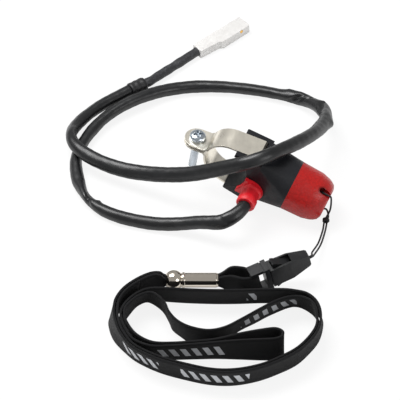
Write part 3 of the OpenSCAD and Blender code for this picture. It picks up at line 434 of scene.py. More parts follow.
def vinyl_sleeve(name, colour):
    """Soft sleeving over two wires: satin skin, long shallow wrinkles, and dust that pales it in patches."""
    f = Finish(name, colour, 0.36, specular=0.5)
    along = f.place("UV", scale=(1, 3, 1))
    f.colour(f.mixed(f.ranged(f.noise(0.01, 4, along), 0.35, 0.75, 0, 1), shade(colour, 0.85), shade(colour, 1.3)))
    f.rough(f.ranged(f.noise(0.006, 3, along), 0.3, 0.7, 0.3, 0.44))
    low = f.relief(f.noise(0.009, 2, f.place("UV", scale=(0.5, 2.2, 1))), 0.0003)
    f.relief(f.noise(0.0005, 3), 0.000015, low)
    return f.material


def shrink_sleeve(name, colour):
    """Shrunk sleeving with the lumps of the wires under it and paler scuffs."""
    f = Finish(name, colour, 0.5)
    along = f.place("UV", scale=(1, 1.6, 1))
    f.colour(f.mixed(f.ranged(f.noise(0.0024, 4, along, 0.7), 0.5, 0.75, 0, 1), shade(colour, 0.8), shade(colour, 3.2)))
    low = f.relief(f.noise(0.002, 2, along), 0.00018)
    f.relief(f.noise(0.0004, 3), 0.00002, low)
    return f.material


def plated_steel(name, colour, roughness, streaks=(1, 1, 1), depth=0.000004, cloud=0.1):
    """Plated steel: fine scratches drawn out along one way, and slow changes of tone and gloss."""
    f = Finish(name, colour, roughness, metal=1.0)
    f.colour(f.mixed(f.ranged(f.noise(0.006, 3), 0.3, 0.7, 0, 1), shade(colour, 1 - cloud), shade(colour, 1 + cloud / 2)))
    f.rough(f.ranged(f.noise(0.003, 4, f.place(scale=streaks)), 0.3, 0.7, roughness - 0.04, roughness + 0.05))
    f.relief(f.noise(0.0003, 3, f.place(scale=streaks)), depth)
    return f.material


def polished_chrome(name):
    """Bright chrome with a faint haze."""
    f = Finish(name, (0.66, 0.6, 0.52), 0.07, metal=1.0)
    f.rough(f.ranged(f.noise(0.002, 4), 0.35, 0.75, 0.05, 0.14))
    f.relief(f.noise(0.004, 2), 0.00003)
    return f.material


def milky_nylon(name):
    """Natural nylon: milky, slightly glossy, with thin and thick places."""
    f = Finish(name, srgb(208, 206, 204), 0.32)
    f.shader.inputs["Subsurface Weight"].default_value = 0.35
    f.shader.inputs["Subsurface Radius"].default_value = (1, 1, 1)
    f.shader.inputs["Subsurface Scale"].default_value = 0.0015
    f.colour(f.mixed(f.ranged(f.noise(0.004, 2), 0.35, 0.7, 0, 1), srgb(205, 203, 201), srgb(212, 211, 209)))
    f.relief(f.noise(0.0008, 2), 0.00002)
    return f.material


def stamped_brass(name):
    """Stamped brass with slight tarnish."""
    f = Finish(name, srgb(225, 170, 70), 0.3, metal=1.0)
    f.colour(f.mixed(f.noise(0.0008, 3), srgb(200, 140, 50), srgb(240, 196, 104)))
    return f.material


def braided_cord(name, colour):
    """Thin braided cord: two sets of slanting strands from the cord's own UV map, paler on their crests and darker
    between them in painted shade.
    """
    f = Finish(name, colour, 0.7)
    left = f.node("ShaderNodeTexWave", _0=f.place("UV", turn=(0, 0, 0.8)))
    left.inputs["Scale"].default_value = 900
    right = f.node("ShaderNodeTexWave", _0=f.place("UV", turn=(0, 0, -0.8)))
    right.inputs["Scale"].default_value = 900
    height = f.math("MULTIPLY", left.outputs["Fac"], right.outputs["Fac"])
    # Painted light: the colour follows the braid's height, crests paler and the hollows between strands darker in
    # painted shade
    f.colour(f.mixed(height, shade(colour, 0.6), shade(colour, 1.9)))
    f.relief(height, 0.00008)
    return f.material


def woven_strap(name, colour, mark):
    """Narrow woven strap: twill ribs with paler crests and painted shade between them, a painted highlight along both
    edges, and slanting bars printed on its right face.

    UV x is the way along in metres, and y goes 0 to 1 across the right face and 1.1 to 2.1 back across the left.
    """
    f = Finish(name, colour, 0.8, specular=0.18)
    f.shader.inputs["Sheen Weight"].default_value = 0.05
    f.shader.inputs["Sheen Roughness"].default_value = 0.4
    split = f.node("ShaderNodeSeparateXYZ", _0=f.place("UV"))
    u, v = split.outputs[0], split.outputs[1]
    side = f.math("MODULO", v, 1.1)
    from_edge = f.math("ABSOLUTE", f.math("SUBTRACT", side, 0.5))
    twill = f.math("SINE", f.math("MULTIPLY", f.math("ADD", u, f.math("MULTIPLY", from_edge, 0.015)), 2 * math.pi / 0.0009))
    rib = f.math("SINE", f.math("MULTIPLY", v, 2 * math.pi * 22))
    weave = f.ranged(f.math("ADD", twill, f.math("MULTIPLY", rib, 0.8)), -1.8, 1.8, 0, 1)
    painted_edge_highlight = f.ranged(from_edge, 0.42, 0.44, 0, 1)
    thread = f.noise(0.0005, 3, f.place("UV", scale=(1, 0.015, 1)))
    # Painted light and real tone: the weave's share makes the rib crests paler and the valleys between them darker in
    # painted shade; the thread noise is random tone in the yarn
    tone = f.math("ADD", f.math("MULTIPLY", weave, 0.55), f.math("MULTIPLY", thread, 0.45))
    cloth = f.mixed(f.ranged(tone, 0.25, 0.75, 0, 1), shade(colour, 0.5), shade(colour, 3.4))
    # Painted highlight: both edges of the strap paler, where they catch the light
    cloth = f.mixed(f.math("MULTIPLY", painted_edge_highlight, 0.4), cloth, shade(colour, 2.6))
    slanted = f.math("ADD", u, f.math("MULTIPLY", v, 0.006))
    bar = f.math("LESS_THAN", f.math("MODULO", f.math("ADD", slanted, 1.0), 0.0054), 0.0028)
    band = f.math("LESS_THAN", from_edge, 0.24)
    reach = f.node("ShaderNodeAttribute", attribute_name="print").outputs["Fac"]
    printed = f.math("MULTIPLY", f.math("MULTIPLY", f.math("GREATER_THAN", reach, 0.5), bar), band)
    # The bars fade in the weave's valleys, where the painted rib shade falls
    printed = f.math("MULTIPLY", printed, f.ranged(tone, 0.12, 0.3, 0.55, 1))
    f.colour(f.mixed(printed, cloth, mark))
    f.rough(f.math("SUBTRACT", 0.78, f.math("MULTIPLY", printed, 0.2)))
    low = f.relief(f.noise(0.006, 2, f.place("UV", scale=(1, 0.015, 1))), 0.0002)
    f.relief(weave, 0.00014, low)
    return f.material


class SwitchFinish(bpy.types.PropertyGroup):
    """Colours and edges of the switch."""

    housing: FloatVectorProperty(name="Housing", description="Colour of the housing", subtype="COLOR", default=srgb(22, 23, 27))
    cap: FloatVectorProperty(name="Cap", description="Colour of the magnetic cap", subtype="COLOR", default=srgb(164, 22, 20))
    gland: FloatVectorProperty(name="Gland", description="Colour of the rubber gland", subtype="COLOR", default=srgb(214, 24, 36))
    band: FloatVectorProperty(name="Band", description="Colour of the clamp band", subtype="COLOR", default=srgb(240, 234, 220))
    easing: FloatProperty(
        name="Edge easing", description="Width of the small bevel on moulded edges", default=0.0003, min=0.00005, max=0.001, unit="LENGTH"
    )


class LeadSizes(bpy.types.PropertyGroup):
    """Sizes and colour of the lead."""

    diameter: FloatProperty(name="Lead", description="Outer diameter of the lead", default=0.0061, min=0.005, max=0.007, unit="LENGTH")
    flattening: FloatProperty(
        name="Flattening", description="Share of the flat places and folds that the sleeving has", default=1, min=0, max=1.2, subtype="FACTOR"
    )
    thin: FloatProperty(name="Thin sleeve", description="Diameter of the thin sleeve", default=0.0044, min=0.003, max=0.005, unit="LENGTH")
    colour: FloatVectorProperty(name="Sleeving", description="Colour of the sleeving", subtype="COLOR", default=srgb(12, 13, 15))


class LanyardSizes(bpy.types.PropertyGroup):
    """Sizes and colours of the lanyard."""

    thickness: FloatProperty(name="Strap thickness", description="Thickness of the strap", default=0.00105, min=0.0008, max=0.0012, unit="LENGTH")
    strap: FloatVectorProperty(name="Strap", description="Colour of the strap", subtype="COLOR", default=srgb(8, 8, 9))
    bars: FloatVectorProperty(name="Bars", description="Colour of the printed bars", subtype="COLOR", default=srgb(188, 190, 194))
    buckle: FloatVectorProperty(name="Buckle", description="Colour of the buckle", subtype="COLOR", default=srgb(15, 16, 18))
    tether: FloatProperty(name="Tether", description="Diameter of the tether cord", default=0.0009, min=0.0007, max=0.001, unit="LENGTH")


class StageSettings(bpy.types.PropertyGroup):
    """Camera and light."""

    distance: FloatProperty(name="Camera distance", description="Distance from the camera to the part", default=9.0, min=1, max=20, unit="LENGTH")
    elevation: FloatProperty(
        name="Camera elevation", description="Angle of the camera above the floor", default=math.radians(45), min=0.1, max=1.5, subtype="ANGLE"
    )
    frame_width: FloatProperty(name="Frame width", description="Width that the camera sees", default=0.1932, min=0.1, max=0.5, unit="LENGTH")
    key: FloatProperty(name="Key light", description="Power of the large lamp", default=11.5, min=0, max=100, unit="POWER")
    room: FloatProperty(name="Room light", description="Strength of the light from all round", default=0.45, min=0, max=2)


class Maker:
    """What the operators share."""

    bl_options = {"REGISTER", "UNDO"}


class KILLSWITCH_OT_camera(Maker, bpy.types.Operator):
    """Puts a long-lens camera in front of the part and above it"""

    bl_idname = "killswitch.camera"
    bl_label = "Camera"

    def execute(self, context):
        stage = context.scene.killswitch_stage
        data = bpy.data.cameras.new("Camera")
        data.sensor_width = 36
        data.lens = 36 * stage.distance / stage.frame_width
        camera = bpy.data.objects.new("Camera", data)
        context.scene.collection.objects.link(camera)
        target = np.array([LAYOUT[0], LAYOUT[1] + LAYOUT[2] - 0.008, 0.008])
        back = np.array([0, -math.cos(stage.elevation), math.sin(stage.elevation)])
        camera.location = target + stage.distance * back
        camera.rotation_euler = (math.pi / 2 - stage.elevation, 0, 0)
        context.scene.camera = camera
        return {"FINISHED"}


def folded_sleeve(name, line, width, height, sides, marks):
    """Oval tube along a line, facing the camera, with its folds: a point moves out by the corners and in by the creases.

    A corner adds size exp(-|s - at| / reach) on one flank, as cos(t) to the power 4 where it has the flank's sign. A crease
    takes depth exp(-((s - at - slant cos(t)) / reach) squared) where sin(t) is above 0. s runs along and t round.
    """
    right, lift = beside(line, (0, -0.7, 0.7))
    t = (np.arange(sides) / sides * 2 * np.pi)[None, :]
    s = run_length(line)[:, None]
    push = np.zeros((len(line), sides))
    for at, flank, size, reach in CORNERS:
        push += size * np.exp(-np.abs(s - np.interp(at, np.arange(len(marks)), marks)) / reach) * np.clip(flank * np.cos(t), 0, 1) ** 4
    for at, slant, depth, reach in CREASES:
        off = s - np.interp(at, np.arange(len(marks)), marks) - slant * np.cos(t)
        push -= depth * np.exp(-((off / reach) ** 2)) * np.sqrt(np.clip(np.sin(t), 0, 1))
    across = (width[:, None] / 2 + push) * np.cos(t)
    upward = (height[:, None] / 2 + push) * np.sin(t)
    grid = line[:, None, :] + across[..., None] * right[:, None, :] + upward[..., None] * lift[:, None, :]
    return skin(name, grid, run_length(line), np.arange(sides + 1) / sides * np.mean(width) * np.pi)


class KILLSWITCH_OT_lead(Maker, bpy.types.Operator):
    """Lays the sleeved lead from the gland to its collar, and the thin sleeve on to the connector"""

    bl_idname = "killswitch.lead"
    bl_label = "Lead"

    def execute(self, context):
        sizes = context.scene.killswitch_lead
        inner = np.array([0.0172, -0.0095 - 0.0116 + 0.005, -0.005])
        start = in_switch([inner, inner + [0, -0.005, 0]])
        way = np.array([math.cos(LEAD_HEADING), math.sin(LEAD_HEADING), 0])
        collar = LAYOUT + COLLAR_AT
        route = np.vstack([start, LAYOUT + np.array(CABLE_ROUTE), collar - 0.002 * way, collar])
        fine = smooth_line(route, 12)
        line = spaced(fine, 0.0008)
        soft = np.hanning(13)[1:-1] / np.hanning(13).sum()
        line[5:-5] = np.stack([np.convolve(line[:, k], soft, "valid") for k in range(3)], 1)
        at = run_length(line)
        marks = run_length(fine)[::12][2:-2]
        width = np.interp(at, marks, np.array(CABLE_WIDTHS))
        width = np.convolve(np.pad(width, 4, mode="edge"), np.hanning(11)[1:-1] / np.hanning(11).sum(), "valid")
        ends = np.clip(at / 0.012, 0, 1) * np.clip((at[-1] - at) / 0.006, 0, 1)
        flat = ends * ((width - sizes.diameter) * sizes.flattening + 0.00012 * np.sin(at * 410) * np.sin(at * 930 + 1))
        lead = folded_sleeve("lead_sleeving", line, sizes.diameter + flat, sizes.diameter - flat, 48, marks)
        sleeving = vinyl_sleeve("sleeving", sizes.colour)
        finish_piece(lead, sleeving, "switch", "sleeve_plastic", "switch_cable")

        t = np.linspace(0, 1, 26)
        swell = 0.0071 + 0.00015 * np.sin(t * 17) - 0.0004 * (np.clip(0.08 - t, 0, 1) + np.clip(t - 0.92, 0, 1)) / 0.08
        line_c = collar + np.outer(t * COLLAR_LENGTH, way)
        ring = tube("lead_collar", line_c, swell, swell, 40)
        finish_piece(ring, shrink_sleeve("collar", srgb(15, 15, 17)), "switch", "sleeve_plastic", "sleeve_collar")

        plug = LAYOUT + PLUG_AT + [0, 0, PLUG_HEIGHT / 2]
        heading = np.array([math.cos(PLUG_HEADING), math.sin(PLUG_HEADING), 0])
        thin_start = collar + (COLLAR_LENGTH + 0.00002) * way
        route = np.vstack([thin_start + 0.00048 * way, thin_start + 0.00358 * way, LAYOUT + np.array(LEAD_ROUTE), plug + 0.0012 * heading])
        line_t = spaced(np.vstack([thin_start, smooth_line(route, 12)]), 0.0006)
        at = run_length(line_t)
        lump = sizes.thin * (1 + 0.03 * np.sin(at * 900) + 0.03 * np.sin(at * 540 + 1))
        thin = tube("thin_sleeve", line_t, lump * 1.04, lump * 0.96, 24)
        finish_piece(thin, shrink_sleeve("thin sleeving", srgb(34, 35, 38)), "switch", "sleeve_plastic", "lead_sleeve")

        return {"FINISHED"}


class KILLSWITCH_OT_tether(Maker, bpy.types.Operator):
    """Ties the thin tether cord from the buckle's tip through the cap's eye and back"""

    bl_idname = "killswitch.tether"
    bl_label = "Tether cord"

    def execute(self, context):
        d = context.scene.killswitch_lanyard.tether
        turn = math.radians(19)
        eye = 0.033 + 0.0143

        def in_eye(a, b, c):
            return in_switch([eye + a, b * math.cos(turn) - c * math.sin(turn), c * math.cos(turn) + b * math.sin(turn)])

        tip = 0.0205
        knot = np.array([0.0608, -0.017, 0.003])
        laid = lambda *points: [LAYOUT + np.array(p) for p in points]
        up_and_over = [[5.4, 7.6], [3.6, 9], [1.8, 9.1], [0.5, 8.6], [0, 7.2], [0, 5.4], [0, 2]]
        down_and_out = [[0, -2], [0, -5.4], [0, -7.2], [0.5, -8.6], [1.8, -9.1], [3.8, -8.8], [6, -7.4]]
        route = np.array([
            in_buckle([tip - 0.0034, 0, 0.0005]), in_buckle([tip + 0.0015, 0, 0.0003]),
            *laid([0.054, -0.045, 0.0094], [0.057, -0.034, 0.0046], [0.0592, -0.024, 0.0032]),
            *laid(knot - [0.0006, 0, 0], [0.0628, -0.0132, 0.0064]),
            *[in_eye(a / 1000, 0, c / 1000) for a, c in up_and_over + down_and_out],
            *laid([0.062, -0.0134, 0.0026], knot + [0.0006, 0, 0]),
            *laid([0.0604, -0.024, 0.0028], [0.0582, -0.034, 0.0036], [0.0552, -0.045, 0.0082]),
            in_buckle([tip + 0.0015, 0, -0.00075]), in_buckle([tip - 0.0034, 0, -0.0006]),
        ])
        line = spaced(smooth_line(route, 12), 0.0004)
        cord = tube("tether", line, d, d, 12, up=(1, 0.3, 0.2))
        black = braided_cord("tether braid", srgb(26, 26, 28))
        finish_piece(cord, black, "cap", "cord_fabric", "tether_cord")
        t = np.linspace(0, 2.5 * 2 * np.pi, 90)
        coil = LAYOUT + knot + np.column_stack([0.0013 * np.cos(t), 0.00085 * t / t[-1] * 2 - 0.00085 + 0.0002 * np.sin(t), 0.00085 * np.sin(t)])
        turns = tube("tether_knot", coil, d * 0.9, d * 0.9, 10, up=(0, 1, 0.01))
        finish_piece(turns, black, "cap", "cord_fabric")
        return {"FINISHED"}


class KILLSWITCH_OT_connector(Maker, bpy.types.Operator):
    """Dresses the two-way connector"""

    bl_idname = "killswitch.connector"
    bl_label = "Connector"

    def execute(self, context):
        outline = eased([
            [0, 0], [0, -0.0032], [0.0112, -0.0037], [0.0128, -0.005], [0.0298, -0.0043], [0.0301, -0.0039],
            [0.0299, 0.0032], [0.0296, 0.0035], [0, 0.0032], [0, 0],
        ], 0.0005, 5)[:-1]
        way = np.roll(outline, -1, 0) - np.roll(outline, 1, 0)
        outward = unit(np.column_stack([way[:, 1], -way[:, 0]]))
        rim = np.array([[0.0004, 0], [0.0001, 0.0001], [0, 0.0003], [0, 0.0046], [0.0001, 0.0049], [0.0004, 0.005]])
        flat = outline[None] - rim[:, None, :1] * outward[None]
        grid = np.concatenate([flat, np.broadcast_to(rim[:, None, 1:], (*flat.shape[:2], 1))], 2)
        plug_axes = turn_about("Z", PLUG_HEADING)
        grid = LAYOUT + PLUG_AT + grid @ plug_axes.T
        shell = skin("connector_shell", grid, rim[:, 1], np.linspace(0, 0.07, len(outline) + 1))
        shell.data.set_sharp_from_angle(angle=math.radians(50))
        dome = np.column_stack([[0.0003, 0.00028, 0.00018, -0.0002], [0.00001, 0.0003, 0.0008, 0.001]])
        seat = LAYOUT + PLUG_AT + np.array([0.0246, -0.0045, 0.0038]) @ plug_axes.T
        contact = lathe("contact_window", dome, seat, np.stack([-plug_axes[:, 1], plug_axes[:, 0], plug_axes[:, 2]]), 32)
        finish_piece(contact, stamped_brass("contact brass"), "switch", "brass")
        finish_piece(shell, milky_nylon("nylon"), "switch", "connector_plastic", "connector_housing")
        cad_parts["connector_terminals"].data.materials.clear()
        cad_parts["connector_terminals"].data.materials.append(stamped_brass("terminal brass"))
        return {"FINISHED"}


class KILLSWITCH_OT_switch(Maker, bpy.types.Operator):
    """Dresses the housing, the cap, the gland and what they hold"""

    bl_idname = "killswitch.switch"
    bl_label = "Switch"

    def execute(self, context):
        looks = context.scene.killswitch_switch
        black = moulded_plastic("housing plastic", looks.housing, 0.4, grain=0.0005, depth=0.00007)
        housing = worn_copy("switch_housing", "housing_shell", looks.easing, 30)
        finish_piece(housing, black, "switch", "housing_plastic", "switch_housing")
        cap = worn_copy("cap_shell", "cap_body", looks.easing)
        eye, above = in_switch([[0.0473, 0, 0], [0.0473, -math.sin(math.radians(19)), math.cos(math.radians(19))]])
        finish_piece(cap, cap_grain("cap plastic", looks.cap, eye, unit(above - eye)), "cap", "cap_plastic", "cap_shell")
        gland = worn_copy("cable_gland", "gland_body", looks.easing)
        finish_piece(gland, soft_rubber("gland rubber", looks.gland), "switch", "gland_rubber", "cable_gland")
        inner = {
            "front_insert": moulded_plastic("insert plastic", srgb(44, 45, 48)),
            "keeper_ring": plated_steel("keeper zinc", (0.6, 0.61, 0.63), 0.3),
            "reed_carrier": moulded_plastic("board", srgb(30, 100, 52), 0.35),
            "reed_capsule": moulded_plastic("reed glass", srgb(190, 214, 200), 0.12),
            "reed_leads": plated_steel("tinned leads", (0.7, 0.7, 0.68), 0.25),
            "signal_wire": moulded_plastic("red insulation", srgb(180, 26, 24)),
            "return_wire": moulded_plastic("black insulation", srgb(26, 26, 28)),
            "cap_magnet": plated_steel("magnet nickel", (0.6, 0.6, 0.62), 0.2),
            "magnet_backing": plated_steel("backing zinc", (0.55, 0.56, 0.58), 0.35),
        }
        for node, material in inner.items():
            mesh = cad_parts[node].data
            mesh.materials.clear()
            mesh.materials.append(material)
        return {"FINISHED"}


class KILLSWITCH_OT_clamp(Maker, bpy.types.Operator):
    """Dresses the clamp band and its screw"""

    bl_idname = "killswitch.clamp"
    bl_label = "Clamp"

    def execute(self, context):
        looks = context.scene.killswitch_switch
        band = worn_copy("clamp_band", "band_strip", 0.00012)
        steel = plated_steel("band plate", looks.band, 0.3, streaks=(1, 0.2, 1))
        finish_piece(band, steel, "switch", "band_metal", "clamp_band")
        screw = worn_copy("clamp_screw", "screw_body", 0.0001)
        finish_piece(screw, plated_steel("screw zinc", srgb(184, 192, 200), 0.24), "switch", "steel_zinc", "clamp_screw")
        return {"FINISHED"}


def strap_rings(route, steps):
    """Middle, half-rise and right-hand direction of the strap at points along its closed route.

    The rise leans by the given x and y, and its z makes its length the height; right is the travel x the rise.
    """
    line = smooth_line(route, steps, closed=True)
    lean, low, height = line[:, 2:4], line[:, 4], line[:, 5]
    rise = np.column_stack([lean, np.sqrt(height**2 - (lean**2).sum(1))]) / 2
    middle = np.column_stack([line[:, :2], low + rise[:, 2]]) + LAYOUT
    travel = np.roll(line[:, :2], -1, 0) - np.roll(line[:, :2], 1, 0)
    right = unit(np.cross(np.column_stack([travel, np.zeros(len(travel))]), rise))
    return middle, rise, right, height


def full_route():
    """The strap's closed route: back leg, bead, left, front, right, top, middle fold, inner bend and round again."""
    laid = lambda points: [list(p) + ([0.00025, STRAP_WIDTH] if len(p) == 4 else []) for p in points]
    outer, top = np.array(laid(OUTER_RUN)), np.array(laid(TOP_RUN))
    d = np.gradient(outer[:, :2], axis=0)
    d[0], d[-1] = outer[1, :2] - outer[0, :2], outer[-1, :2] - outer[-2, :2]
    inner = outer.copy()
    inner[:, :2] += unit(np.column_stack([-d[:, 1], d[:, 0]])) * LAYER_PITCH
    height = 0.0044
    steps = [0.0199, 0.014, 0.007, 0, -0.004]
    neck = lambda x, side: [BEAD_AT[0] + x, BEAD_AT[1] + side * 0.00102, 0, 0, BEAD_AT[2] - height / 2, height]
    bar = BUCKLE_AT + np.array([-0.0084, 0, 0]) @ BUCKLE_AXES.T

    def round_bar(angle):
        a, tilt = math.radians(22 + angle), -math.sin(math.radians(11)) * 0.0108
        reach = 0.0014 + 0.0005 + 0.0003 + 0.0002
        return [bar[0] + reach * math.cos(a), bar[1] + reach * math.sin(a), tilt * math.cos(math.radians(22)),
                tilt * math.sin(math.radians(22)), bar[2] - 0.0053, 0.0108]

    return np.vstack([
        [round_bar(90), [0.0206, -0.0596, 0, 0, 0.0014, 0.0125], [0.015, -0.059, 0, 0, 0.001, 0.0126],
         [0.0108, -0.0589, 0, 0, 0.0018, 0.0078]],
        [neck(x, 1) for x in steps], [[-0.019, -0.0592, 0, 0, 0.00025, 0.01]],
        outer, top, inner[::-1], [[-0.019, -0.0611, 0, 0, 0.00025, 0.01]],
        [neck(x, -1) for x in reversed(steps)],
        [[0.0108, -0.0609, 0, 0, 0.0018, 0.007], [0.015, -0.0634, 0, 0, 0.001, 0.011],
         [0.0208, -0.0664, 0, 0, 0.0012, 0.0122]],
        [round_bar(-90), round_bar(-45), round_bar(0), round_bar(45)],
    ])


def strap_section(columns=9):
    """Rounded band section as (share of half thickness, share of half height, UV y) going up the right face and down the left."""
    face = np.linspace(-0.965, 0.965, columns)
    belly = 1 - 0.08 * np.cos(face * np.pi / 2) + 0.12 * (np.abs(face) > 0.8)
    across = np.concatenate([belly, [0.55, -0.55], -belly[::-1], [-0.55, 0.55]])
    upward = np.concatenate([face, [1, 1], face[::-1], [-1, -1]])
    share = (face + 1) / 2
    uv = np.concatenate([share, [1.02, 1.06], 1.1 + share, [2.12, 2.16]])
    return across, upward, np.append(uv, 2.2)


class KILLSWITCH_OT_strap(Maker, bpy.types.Operator):
    """Lays the woven strap in its loops, with its gathered ends at the bead and at the buckle"""

    bl_idname = "killswitch.strap"
    bl_label = "Strap"

    def execute(self, context):
        sizes = context.scene.killswitch_lanyard
        steps = 10
        middle, rise, right, height = strap_rings(full_route(), steps)
        count = len(middle)
        along = run_length(middle, closed=True)
        half = (sizes.thickness + (STRAP_WIDTH - height) * 0.07) / 2
        across, upward, around = strap_section()
        wave = 0.00006 * np.sin(along[:-1] * 310) + 0.00004 * np.sin(along[:-1] * 730 + 2)
        grid = (
            middle[:, None, :] + upward[None, :, None] * rise[:, None, :]
            + (across[None, :, None] * half[:, None, None] + wave[:, None, None] * (1 - upward[None, :, None] ** 2)) * right[:, None, :]
        )
        cloth = woven_strap("strap weave", sizes.strap, sizes.bars)

        order = np.arange(count) / steps
        inked = sum(((order > first) & (order < last)).astype(np.float32) for first, last in PRINTED)

        def stretch(name, first, last):
            """The rings from one route point to another, as a piece of its own, with the share printed at each."""
            pick = np.arange(int(first * steps), int(last * steps) + 1) % count
            length = np.unwrap(along[pick], period=along[-1])
            piece = skin(name, grid[pick], length, around)
            marks = piece.data.attributes.new("print", "FLOAT", "POINT")
            marks.data.foreach_set("value", np.repeat(inked[pick], grid.shape[1]))
            piece.data.materials.append(cloth)
            return piece, length[-1] - length[0]

        total = len(full_route())
        loops, length = stretch("strap_loops", 11, total - 15)
        outer, _ = stretch("strap_neck_outer", 6, 11)
        inner, _ = stretch("strap_neck_inner", total - 15, total - 10)
        legs, _ = stretch("strap_legs", total - 9, total + 5)
        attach(loops, "lanyard")
        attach(legs, "lanyard")
        for neck in (outer, inner):
            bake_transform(neck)
        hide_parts("lanyard_strap")
        return {"FINISHED"}


class KILLSWITCH_OT_bead(Maker, bpy.types.Operator):
    """Turns the chromed slide bead with its ball and its tube"""

    bl_idname = "killswitch.bead"
    bl_label = "Bead"

    def execute(self, context):
        r, tube_r, bore, end = 0.0049, 0.0036, 0.0032, 0.0213
        t = np.linspace(math.asin(bore / r), math.pi - math.asin((tube_r - 0.0001) / r), 40)
        ball = np.column_stack([-r * np.cos(t), r * np.sin(t)])
        start = math.sqrt(r**2 - tube_r**2)
        tube_part = eased([
            [start, tube_r - 0.0001], [start + 0.0006, tube_r - 0.0002], [start + 0.0008, tube_r + 0.0003],
            [start + 0.0018, tube_r + 0.0003], [start + 0.002, tube_r], [end - 0.0008, tube_r],
            [end - 0.0006, tube_r - 0.0002], [end, tube_r - 0.0002], [end, bore + 0.0001],
            [end - 0.0006, bore], [start, bore], [-math.sqrt(r**2 - bore**2), bore],
        ], 0.0002)
        profile = np.vstack([ball, tube_part])
        bead = lathe("bead_body", profile, LAYOUT + BEAD_AT, np.eye(3), 96)
        finish_piece(bead, polished_chrome("bead chrome"), "bead", "bead_chrome", "bead_slider")
        return {"FINISHED"}


class KILLSWITCH_OT_buckle(Maker, bpy.types.Operator):
    """Dresses both halves of the side-release buckle"""

    bl_idname = "killswitch.buckle"
    bl_label = "Buckle"

    def execute(self, context):
        sizes = context.scene.killswitch_lanyard
        black = moulded_plastic("buckle plastic", sizes.buckle, 0.42, grain=0.0002)
        socket = worn_copy("buckle_socket", "socket_half", 0.00035)
        finish_piece(socket, black, "cap", "buckle_plastic", "buckle_socket")
        plug = worn_copy("buckle_plug", "plug_half", 0.0003)
        finish_piece(plug, black, "lanyard", "buckle_plastic", "buckle_plug")
        return {"FINISHED"}


def soft_lamp(name, place, aim, width, height, power, colour=(1, 1, 1)):
    """Rectangular lamp at place, facing aim."""
    data = bpy.data.lights.new(name, "AREA")
    data.shape = "RECTANGLE"
    data.size, data.size_y = width, height
    data.energy = power
    data.color = colour
    lamp = bpy.data.objects.new(name, data)
    bpy.context.scene.collection.objects.link(lamp)
    z = unit(np.array(place, float) - np.array(aim, float))
    x = unit(np.cross([0, 1, 0.01], z))
    y = np.cross(z, x)
    lamp.matrix_world = Matrix.Translation(place) @ Matrix(np.stack([x, y, z], 1).tolist()).to_4x4()
    return lamp


def ray_share(tree, mirrored):
    """1 for rays from the eye or through glass, the share mirrored for reflections, and 0 for the rest."""
    path = tree.nodes.new("ShaderNodeLightPath")
    steps = [tree.nodes.new("ShaderNodeMath") for _ in range(3)]
    for step, operation in zip(steps, ("MULTIPLY", "MAXIMUM", "MAXIMUM")):
        step.operation = operation
    tree.links.new(path.outputs["Is Glossy Ray"], steps[0].inputs[0])
    steps[0].inputs[1].default_value = mirrored
    tree.links.new(steps[0].outputs[0], steps[1].inputs[0])
    tree.links.new(path.outputs["Is Camera Ray"], steps[1].inputs[1])
    tree.links.new(steps[1].outputs[0], steps[2].inputs[0])
    tree.links.new(path.outputs["Is Transmission Ray"], steps[2].inputs[1])
    return steps[2].outputs[0]


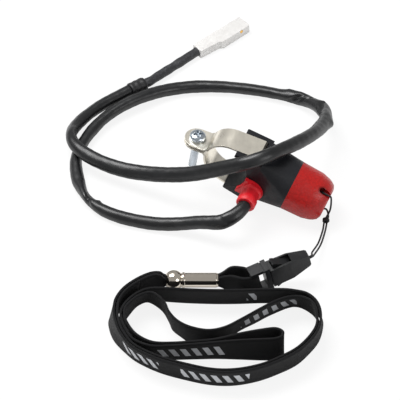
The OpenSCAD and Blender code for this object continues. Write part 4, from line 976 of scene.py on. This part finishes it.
class KILLSWITCH_OT_stage(Maker, bpy.types.Operator):
    """Lays a plain pale floor and sets soft studio light"""

    bl_idname = "killswitch.stage"
    bl_label = "Stage"

    def execute(self, context):
        stage = context.scene.killswitch_stage
        grid = np.array([[[-3, -3, 0], [3, -3, 0]], [[-3, 3, 0], [3, 3, 0]]], float)[:, ::-1] - [0, 0, 0.00005]
        floor = skin("floor", grid, np.array([0, 1.0]), np.array([0, 1.0]), wrap=False)
        material = bpy.data.materials.new("floor white")
        material.use_nodes = True
        tree = material.node_tree
        tree.nodes.clear()
        diffuse = tree.nodes.new("ShaderNodeBsdfDiffuse")
        diffuse.inputs["Color"].default_value = (0.86, 0.86, 0.86, 1)
        glow = tree.nodes.new("ShaderNodeEmission")
        glow.inputs["Color"].default_value = (1, 1, 1, 1)
        share = tree.nodes.new("ShaderNodeMath")
        share.operation = "MULTIPLY"
        share.inputs[1].default_value = 0.86
        mix = tree.nodes.new("ShaderNodeMixShader")
        out = tree.nodes.new("ShaderNodeOutputMaterial")
        tree.links.new(ray_share(tree, 0.3), share.inputs[0])
        tree.links.new(share.outputs[0], mix.inputs[0])
        tree.links.new(diffuse.outputs[0], mix.inputs[1])
        tree.links.new(glow.outputs[0], mix.inputs[2])
        tree.links.new(mix.outputs[0], out.inputs["Surface"])
        floor.data.materials.append(material)
        world = bpy.data.worlds.new("Studio")
        context.scene.world = world
        world.use_nodes = True
        tree = world.node_tree
        ground = tree.nodes["Background"]
        value = tree.nodes.new("ShaderNodeMapRange")
        tree.links.new(ray_share(tree, 0), value.inputs[0])
        value.inputs[3].default_value = stage.room
        value.inputs[4].default_value = 1.0
        ground.inputs["Color"].default_value = (1, 1, 1, 1)
        tree.links.new(value.outputs[0], ground.inputs["Strength"])
        soft_lamp("Key", (-0.35, 0.25, 0.9), (0, 0, 0.01), 0.7, 0.5, stage.key)
        soft_lamp("Fill", (0.8, -0.7, 0.6), (0, 0, 0.01), 0.6, 0.6, stage.key * 0.35)
        context.scene.view_settings.view_transform = "Standard"
        return {"FINISHED"}


OPERATORS = (
    KILLSWITCH_OT_camera, KILLSWITCH_OT_connector, KILLSWITCH_OT_lead, KILLSWITCH_OT_tether, KILLSWITCH_OT_switch,
    KILLSWITCH_OT_clamp, KILLSWITCH_OT_strap, KILLSWITCH_OT_bead, KILLSWITCH_OT_buckle, KILLSWITCH_OT_stage,
)


class KILLSWITCH_PT_pieces(bpy.types.Panel):
    """Lists the sizes and the pieces"""

    bl_idname = "KILLSWITCH_PT_pieces"
    bl_label = "Kill switch"
    bl_space_type = "VIEW_3D"
    bl_region_type = "UI"
    bl_category = "Kill switch"

    def draw(self, context):
        for group in ("switch", "lead", "lanyard", "stage"):
            values = getattr(context.scene, "killswitch_" + group)
            box = self.layout.box()
            for key in values.__annotations__:
                box.prop(values, key)
        for operator in OPERATORS:
            self.layout.operator(operator.bl_idname)


GROUPS = {
    "killswitch_switch": SwitchFinish, "killswitch_lead": LeadSizes,
    "killswitch_lanyard": LanyardSizes, "killswitch_stage": StageSettings,
}


def register():
    """Adds the groups, the operators and the panel."""
    for name, group in GROUPS.items():
        bpy.utils.register_class(group)
        setattr(bpy.types.Scene, name, PointerProperty(type=group))
    for cls in (*OPERATORS, KILLSWITCH_PT_pieces):
        bpy.utils.register_class(cls)


def unregister():
    """Takes them away again."""
    for cls in (KILLSWITCH_PT_pieces, *reversed(OPERATORS)):
        bpy.utils.unregister_class(cls)
    for name, group in GROUPS.items():
        delattr(bpy.types.Scene, name)
        bpy.utils.unregister_class(group)


def main():
    """Registers the add-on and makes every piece."""
    register()
    for operator in OPERATORS:
        group, name = operator.bl_idname.split(".")
        getattr(getattr(bpy.ops, group), name)()


if __name__ == "__main__":
    main()
